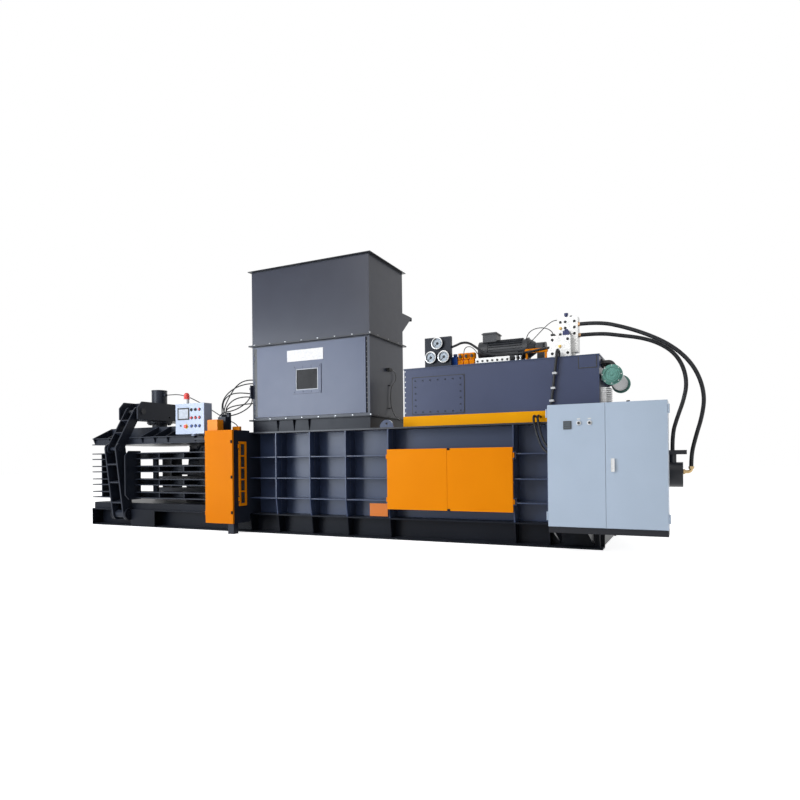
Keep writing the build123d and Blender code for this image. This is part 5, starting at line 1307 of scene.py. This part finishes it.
@dataclass
class HopperTrim:
    """Bare name plate and window seal of the hopper door, and bright zinc dots of painted light beside the
    door, for light that shows through its gap.
    """

    plate: Edges = (-0.316, 2.970, 0.425, 3.167)
    plate_thickness: float = 0.005
    plate_bevel: float = 0.0015
    bolt_reach: float = 0.020
    rivet: Point = (0.012, 0.012, 0.006)
    rivet_inset: float = 0.016
    strip_column: float = 1.252
    strip_front: float = -0.6515
    strip_run: tuple[float, float] = (2.10, 3.20)
    light_dot_count: int = 14
    light_dot_size: Point = (0.011, 0.011, 0.006)
    seal_lap: float = 0.015
    seal_width: float = 0.016
    seal_gap: float = 0.0005
    seal_reach: float = 0.009
    seal_bevel: float = 0.002

    def build(self) -> None:
        """Makes the plate, its rivets, the seal and the dots of painted light in the door's gap."""
        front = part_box("hopper_door")[0].y + self.bolt_reach
        back = front - self.plate_thickness
        left, bottom, right, top = self.plate
        plate = Piece("hopper_bare_plate", PLATE_WHITE, "hopper_hatch")
        plate.box((left, back, bottom), (right, front, top))
        plate.done(bevel=self.plate_bevel)
        x0, z0, x1, z1 = grown(self.plate, -self.rivet_inset)
        corners = [(x, back, z) for x in (x0, x1) for z in (z0, z1)]
        Row("plate_rivets", ZINC, Shape.RIVET, self.rivet, corners, body="hopper_hatch").done()
        self.window_seal()
        # Painted light: bright zinc dots along the door's right gap, for light that shows through it.
        strip = [(self.strip_column, self.strip_front, z) for z in spaced(*self.strip_run, self.light_dot_count)]
        Row("door_gap_light_dots", ZINC, Shape.RIVET, self.light_dot_size, strip).done()

    def window_seal(self) -> None:
        """Makes the bright seal inside the window's frame."""
        low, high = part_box("window_pane")
        pane = grown((low.x, low.z, high.x, high.z), -self.seal_lap)
        seal = Piece("window_seal", SEAL, "hopper_hatch")
        seal.border(grown(pane, -self.seal_gap), grown(pane, -self.seal_width),
                    low.y - self.seal_reach, low.y - HAIR)
        seal.done(bevel=self.seal_bevel)


@dataclass
class ControlBoxTrim:
    """Screen, coloured buttons and warning lamp of the control box."""

    columns: tuple[float, ...] = (-2.077, -1.983, -1.890)
    front: float = -1.150
    body: str = "control_box"
    bezel: Profile = ((-0.010, 0.026), (-0.002, 0.030), (0.002, 0.030))
    cap: Profile = ((-0.024, 0.012), (-0.0225, 0.0185), (-0.008, 0.020))
    screen_edges: Edges = (-2.397, 2.013, -2.137, 2.216)
    frame_lap: float = 0.008
    frame_width: float = 0.016
    glass_inset: float = 0.014
    lamp_foot: Point = (-2.283, -1.050, 2.300)
    lamp_ribs: int = 5
    lamp_steps: int = 8
    socket: Profile = ((0.0, 0.0), (0.0, 0.048), (0.012, 0.048), (0.015, 0.042), (0.075, 0.042),
                       (0.080, 0.046), (0.0899, 0.046), (0.0899, 0.0))

    def buttons(self) -> None:
        """Puts bezels and coloured caps over the push buttons."""
        rows = {1.890: (BLUE_PLASTIC,) * 3, 2.040: (RED_PLASTIC,) * 3,
                2.185: (BLACK_PLASTIC, BLACK_PLASTIC, RED_PLASTIC)}
        rings = Piece("button_bezels", BLACK_PLASTIC, self.body)
        caps = {f.name: Piece("caps_" + f.name, f, self.body)
                for f in (BLUE_PLASTIC, RED_PLASTIC, BLACK_PLASTIC)}
        for z, finishes in rows.items():
            for x, finish in zip(self.columns, finishes):
                rings.turned(Axis.Y, (x, self.front, z), self.bezel, 28)
                caps[finish.name].turned(Axis.Y, (x, self.front, z), self.cap, 28)
        for piece in (rings, *caps.values()):
            piece.done(smooth=True)

    def screen(self) -> None:
        """Frames the touch screen."""
        rim = Piece("screen_frame", BLACK_PLASTIC, self.body)
        rim.border(grown(self.screen_edges, self.frame_lap), grown(self.screen_edges, -self.frame_width),
                   self.front - 0.010, self.front - 0.0002, posts=False)
        rim.done(bevel=0.0015)
        x0, z0, x1, z1 = grown(self.screen_edges, -self.glass_inset)
        glass = Piece("screen_glass", SCREEN_GLASS, self.body)
        glass.box((x0, self.front - 0.0078, z0), (x1, self.front - 0.0058, z1))
        glass.done()

    def lamp(self) -> None:
        """Makes the warning lamp's ribbed dome and its white socket."""
        dome = [(0.090, 0.0), (0.090, 0.052)]
        for i in range(self.lamp_ribs):
            dome += [(0.097 + i * 0.014, 0.052), (0.101 + i * 0.014, 0.0495)]
        for i in range(self.lamp_steps + 1):
            angle = math.radians(90 * i / self.lamp_steps)
            dome.append((0.162 + 0.050 * math.sin(angle), 0.0505 * math.cos(angle)))
        lamp = Piece("warning_lamp_dome", RED_PLASTIC, self.body).turned(Axis.Z, self.lamp_foot, dome, 40)
        made = lamp.done(smooth=True)
        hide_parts("beacon")
        socket = Piece("warning_lamp_socket", WHITE_PLASTIC, self.body)
        socket.turned(Axis.Z, self.lamp_foot, self.socket, 40).done(smooth=True)

    def build(self) -> None:
        """Makes all of the box's trim."""
        self.buttons()
        self.screen()
        self.lamp()


@dataclass
class GaugeDials:
    """Rims, faces and marks of the three gauges."""

    centres: tuple[tuple[float, float], ...] = ((2.492, 3.050), (2.382, 2.838), (2.598, 2.835))
    face: float = -0.600
    radius: float = 0.090
    marks: int = 11
    first_mark: float = -45.0
    mark_turn: float = 27.0
    mark_circle: float = 0.060
    half_mark: float = 0.005
    rim: Profile = ((-0.046, -0.013), (-0.050, -0.006), (-0.048, 0.002), (-0.040, 0.004),
                    (-0.0385, 0.004), (-0.0385, -0.013), (-0.046, -0.013))
    plate_back: float = -0.0222
    plate_front: float = -0.0245
    plate_inset: float = 0.0125
    hub: Profile = ((-0.0256, 0.022), (-0.0246, 0.022))

    def build(self) -> None:
        """Makes the dials."""
        edge = self.radius - self.plate_inset
        plate = ((self.plate_front, 0.0), (self.plate_front, edge), (self.plate_back, edge),
                 (self.plate_back, 0.0))
        rims = Piece("gauge_rims", ZINC)
        faces = Piece("gauge_faces", DIAL)
        marks = Piece("gauge_marks", BLACK_PLASTIC)
        for x, z in self.centres:
            rims.turned(Axis.Y, (x, self.face, z), ring(self.radius, self.rim), 48)
            faces.turned(Axis.Y, (x, self.face, z), plate, 48)
            for i in range(self.marks):
                angle = math.radians(self.first_mark + self.mark_turn * i)
                u, v = x + self.mark_circle * math.cos(angle), z + self.mark_circle * math.sin(angle)
                marks.box((u - self.half_mark, self.face - 0.0254, v - self.half_mark),
                          (u + self.half_mark, self.face - 0.0246, v + self.half_mark))
            marks.turned(Axis.Y, (x, self.face, z), self.hub, 24)
        rims.done(smooth=True)
        faces.done()
        marks.done()


@dataclass
class WallTrim:
    """Weld runs on the ribs of the operator's wall, and bolts and gaskets of the tank."""

    ribs: tuple[float, ...] = (-0.389, 0.299, 0.989, 1.758, 3.750, 4.235)
    rib_plate: float = 0.020
    belts: tuple[float, ...] = (0.605, 0.949, 1.310)
    belt_clearance: float = 0.02
    stitch: Point = (0.0022, 0.0060, 0.0180)
    stitches: int = 40
    stitch_run: tuple[float, float] = (0.40, 1.70)
    stitch_front: float = -0.800
    bead: Point = (0.012, 0.009, 0.005)
    beads: int = 9
    bead_step: float = 0.010
    bead_front: float = -0.932
    bolt: Point = (0.016, 0.016, 0.009)
    bolts: int = 9
    bolt_column: float = 1.946
    bolt_run: tuple[float, float] = (1.985, 2.640)
    covers: tuple[Edges, ...] = ((2.075, 1.956, 2.932, 2.531), (4.637, 2.508, 4.870, 2.667))
    gasket_gap: float = 0.0005
    gasket_width: float = 0.011
    gasket_depth: tuple[float, float] = (-0.6505, -0.6453)

    def build(self) -> None:
        """Makes the weld runs, the bolts and the gaskets."""
        faces = [x + self.rib_plate for x in self.ribs]
        dashes = [(x + 0.0005, self.stitch_front, z)
                  for x in faces for z in spaced(*self.stitch_run, self.stitches)
                  if min(abs(z - belt) for belt in self.belts) > self.belt_clearance]
        Row("rib_stitch_welds", WELD, Shape.BAR, self.stitch, dashes, UPRIGHT).done()
        beads = [(x + 0.012 + self.bead_step * i, self.bead_front, belt + 0.0085)
                 for x in faces for belt in self.belts for i in range(self.beads)]
        Row("belt_weld_beads", WELD, Shape.WELD_BEAD, self.bead, beads, UPRIGHT).done()
        bolts = [(self.bolt_column, SHEET_FRONT, z) for z in spaced(*self.bolt_run, self.bolts)]
        Row("tank_end_bolts", ZINC, Shape.HEX_BOLT, self.bolt, bolts).done()
        gaskets = Piece("tank_gaskets", BLACK_PLASTIC)
        for cover in self.covers:
            gaskets.border(grown(cover, self.gasket_width), grown(cover, self.gasket_gap), *self.gasket_depth)
        gaskets.done()


@dataclass
class DriveTrim:
    """Small parts of the hydraulic drive on the tank's lid."""

    high_front: float = -0.340
    low_front: float = -0.500
    block_screw: Point = (0.040, 0.040, 0.010)
    nipple: Profile = ((-0.028, 0.012), (-0.024, 0.016), (-0.012, 0.016), (-0.010, 0.024), (0.001, 0.024))
    plug: Profile = ((0.0, 0.022), (0.018, 0.022), (0.022, 0.017), (0.034, 0.017))
    bracket_posts: tuple[float, ...] = (3.835, 4.120)
    coils: tuple[float, ...] = (2.833, 2.925, 3.017)
    hand_valves: tuple[float, ...] = (3.700, 3.765)
    hand_valve: Profile = ((0.0, 0.022), (0.040, 0.022), (0.046, 0.012), (0.074, 0.012), (0.076, 0.026),
                           (0.090, 0.026), (0.094, 0.020))
    pilot_run: tuple[float, float] = (3.110, 3.575)
    pilot_screws: int = 7
    pilot_screw: Point = (0.034, 0.034, 0.008)
    fins: int = 10
    fin_thickness: float = 0.010
    cooler_axis: tuple[float, float] = (5.070, 2.392)
    cooler_rings: tuple[float, ...] = (0.106, 0.058)
    cooler_section: Profile = ((-0.0045, -0.010), (-0.0060, -0.005), (-0.0045, 0.0), (-HAIR, 0.001),
                               (-HAIR, -0.011), (-0.0045, -0.010))
    cooler_hub: Profile = ((-0.012, 0.0), (-0.012, 0.016), (-HAIR, 0.020))
    cooler_bolt: Point = (0.014, 0.014, 0.008)
    cooler_bolts: int = 8
    bolt_circle: float = 0.126

    def manifold(self) -> None:
        """Closes the bores of the valve blocks and adds a coil and nipples."""
        high = [(x, self.high_front, z) for x in (4.330, 4.400, 4.530) for z in (3.060, 3.150, 3.240)]
        high.remove((4.330, self.high_front, 3.150))
        low = [(x, self.low_front, z) for x in (4.240, 4.460) for z in (2.760, 2.960)]
        Row("manifold_screws", BLACK_PLASTIC, Shape.SOCKET_SCREW, self.block_screw, high + low).done()
        brass = Piece("brass_nipples", BRASS)
        brass.turned(Axis.Y, (4.330, self.high_front, 3.150), self.nipple, 24)
        brass.turned(Axis.Y, (4.350, self.low_front, 2.860), self.nipple, 24)
        brass.done(smooth=True)
        coil = Piece("manifold_coil", NAVY_PLASTIC)
        coil.box((4.385, -0.470, 3.0155), (4.475, -0.372, 3.085))
        coil.box((4.405, -0.455, 3.085), (4.455, -0.390, 3.112))
        coil.done(bevel=0.004)
        cap = Piece("manifold_plugs", BLACK_PLASTIC)
        cap.box((4.215, -0.480, 3.0155), (4.268, -0.372, 3.055))
        cap.turned(Axis.Z, (4.470, -0.250, 3.308), self.plug, 24)
        cap.done(bevel=0.002)

    def lid_parts(self) -> None:
        """Makes the hose bracket, the coil plugs, the pilot screws and the hand valves."""
        bracket = Piece("hose_bracket", ORANGE)
        for x in self.bracket_posts:
            bracket.box((x, -0.440, LID), (x + 0.028, -0.412, LID + 0.125))
        bracket.box((3.820, -0.443, LID + 0.125), (4.160, -0.408, LID + 0.185))
        bracket.done(bevel=0.003)
        plugs = Piece("coil_plugs", BLACK_PLASTIC)
        for x in self.coils:
            plugs.box((x - 0.017, -0.540, LID + 0.120), (x + 0.017, -0.5205, LID + 0.172))
        plugs.done(bevel=0.003)
        screws = [(x, -0.5200, 2.735) for x in spaced(*self.pilot_run, self.pilot_screws)]
        Row("pilot_screws", BLACK_PLASTIC, Shape.SOCKET_SCREW, self.pilot_screw, screws).done()
        valves = Piece("hand_valves", ZINC)
        for x in self.hand_valves:
            valves.turned(Axis.Z, (x, -0.480, LID), self.hand_valve, 24)
        valves.done(smooth=True)

    def finned_block(self) -> None:
        """Makes the finned block at the tank's end, under the cooler."""
        block = Piece("finned_block", ALLOY)
        block.box((4.909, -0.560, 1.960), (4.990, -0.330, 2.225))
        for z in spaced(1.972, 2.205, self.fins):
            block.box((4.909, -0.572, z), (5.050, -0.318, z + self.fin_thickness))
        block.done(bevel=0.0015)

    def cooler_face(self) -> None:
        """Makes the raised rings and the bolts on the cooler's end cap."""
        x, z = self.cooler_axis
        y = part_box("oil_cooler")[0].y
        rings = Piece("cooler_cap_rings", GREEN)
        for radius in self.cooler_rings:
            rings.turned(Axis.Y, (x, y, z), ring(radius, self.cooler_section), 48)
        rings.turned(Axis.Y, (x, y, z), self.cooler_hub, 24)
        rings.done(smooth=True)
        turns = [2 * math.pi * i / self.cooler_bolts for i in range(self.cooler_bolts)]
        bolts = [(x + self.bolt_circle * math.cos(turn), y - HAIR, z + self.bolt_circle * math.sin(turn))
                 for turn in turns]
        Row("cooler_cap_bolts", ZINC, Shape.HEX_BOLT, self.cooler_bolt, bolts).done()

    def build(self) -> None:
        """Makes all of them."""
        self.cooler_face()
        self.manifold()
        self.lid_parts()
        self.finned_block()


@dataclass
class CabinetTrim:
    """Lamps and meter in the left cabinet door."""

    face: float = -1.395
    lamp_columns: tuple[float, ...] = (4.743, 4.877)
    lamp_level: float = 1.690
    lamp_rim: Profile = ((-0.0185, 0.021), (-0.014, 0.029), (-HAIR, 0.031))
    lamp_cap: Profile = ((-0.030, 0.011), (-0.029, 0.0155), (-0.0187, 0.017))
    label_width: float = 0.040
    label_rise: tuple[float, float] = (1.735, 1.752)
    meter: Edges = (4.560, 1.626, 4.640, 1.648)
    meter_step: float = 0.030
    meter_rows: int = 3

    def build(self) -> None:
        """Makes the bezels, the bare labels over them and the meter's windows."""
        rims = Piece("cabinet_lamp_rims", WHITE_PLASTIC, "left_cabinet_leaf")
        caps = Piece("cabinet_lamp_caps", BLACK_PLASTIC, "left_cabinet_leaf")
        for x in self.lamp_columns:
            place = (x, self.face, self.lamp_level)
            rims.turned(Axis.Y, place, self.lamp_rim, 32)
            caps.turned(Axis.Y, place, self.lamp_cap, 32)
            low, high = self.label_rise
            rims.box((x - self.label_width / 2, self.face - 0.003, low),
                     (x + self.label_width / 2, self.face - HAIR, high))
        rims.done(smooth=True)
        caps.done(smooth=True)
        left, bottom, right, top = self.meter
        pane = Piece("meter_pane", METER_GLASS, "left_cabinet_leaf")
        for row in range(self.meter_rows):
            rise = self.meter_step * row
            pane.box((left, self.face - 0.0142, bottom + rise), (right, self.face - 0.0123, top + rise))
        pane.done(bevel=0.0006)


@dataclass
class GuardMesh:
    """Wire mesh in the narrow guard door."""

    plane: float = -0.930
    across: tuple[float, float] = (-1.200, -1.103)
    height: tuple[float, float] = (0.540, 1.525)
    uprights: int = 7
    upright: Point = (0.0028, 0.0028, 1.030)
    levels: int = 50
    level: Point = (0.0026, 0.1180, 0.0026)

    def build(self) -> None:
        """Makes the upright and the level wires."""
        uprights = [(self.plane, y, sum(self.height) / 2) for y in spaced(*self.across, self.uprights)]
        levels = [(self.plane, sum(self.across) / 2, z) for z in spaced(*self.height, self.levels)]
        for name, size, points in (("guard_mesh_uprights", self.upright, uprights),
                                   ("guard_mesh_levels", self.level, levels)):
            Row(name, PIN_STEEL, Shape.BAR, size, points, UPRIGHT, "wire_guard").done()


def dress_nodes() -> None:
    """Gives every CAD node its finish."""
    for finish, names in NODE_FINISHES.items():
        for name in names:
            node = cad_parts[name]
            if not node.material_slots:
                node.data.materials.append(finish.material())
            for place in node.material_slots:
                place.material = finish.material()
            LOG.info("node %s is %s", name, finish.name)


def main() -> None:
    """Builds the scene in order."""
    logging.basicConfig(level=logging.INFO, format="%(message)s")
    Studio().build()
    Hoses().build()
    dress_nodes()
    for group in (HopperTrim(), ControlBoxTrim(), GaugeDials(), WallTrim(), DriveTrim(), CabinetTrim(),
                  GuardMesh()):
        group.build()
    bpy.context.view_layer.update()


if __name__ == "__main__":
    main()
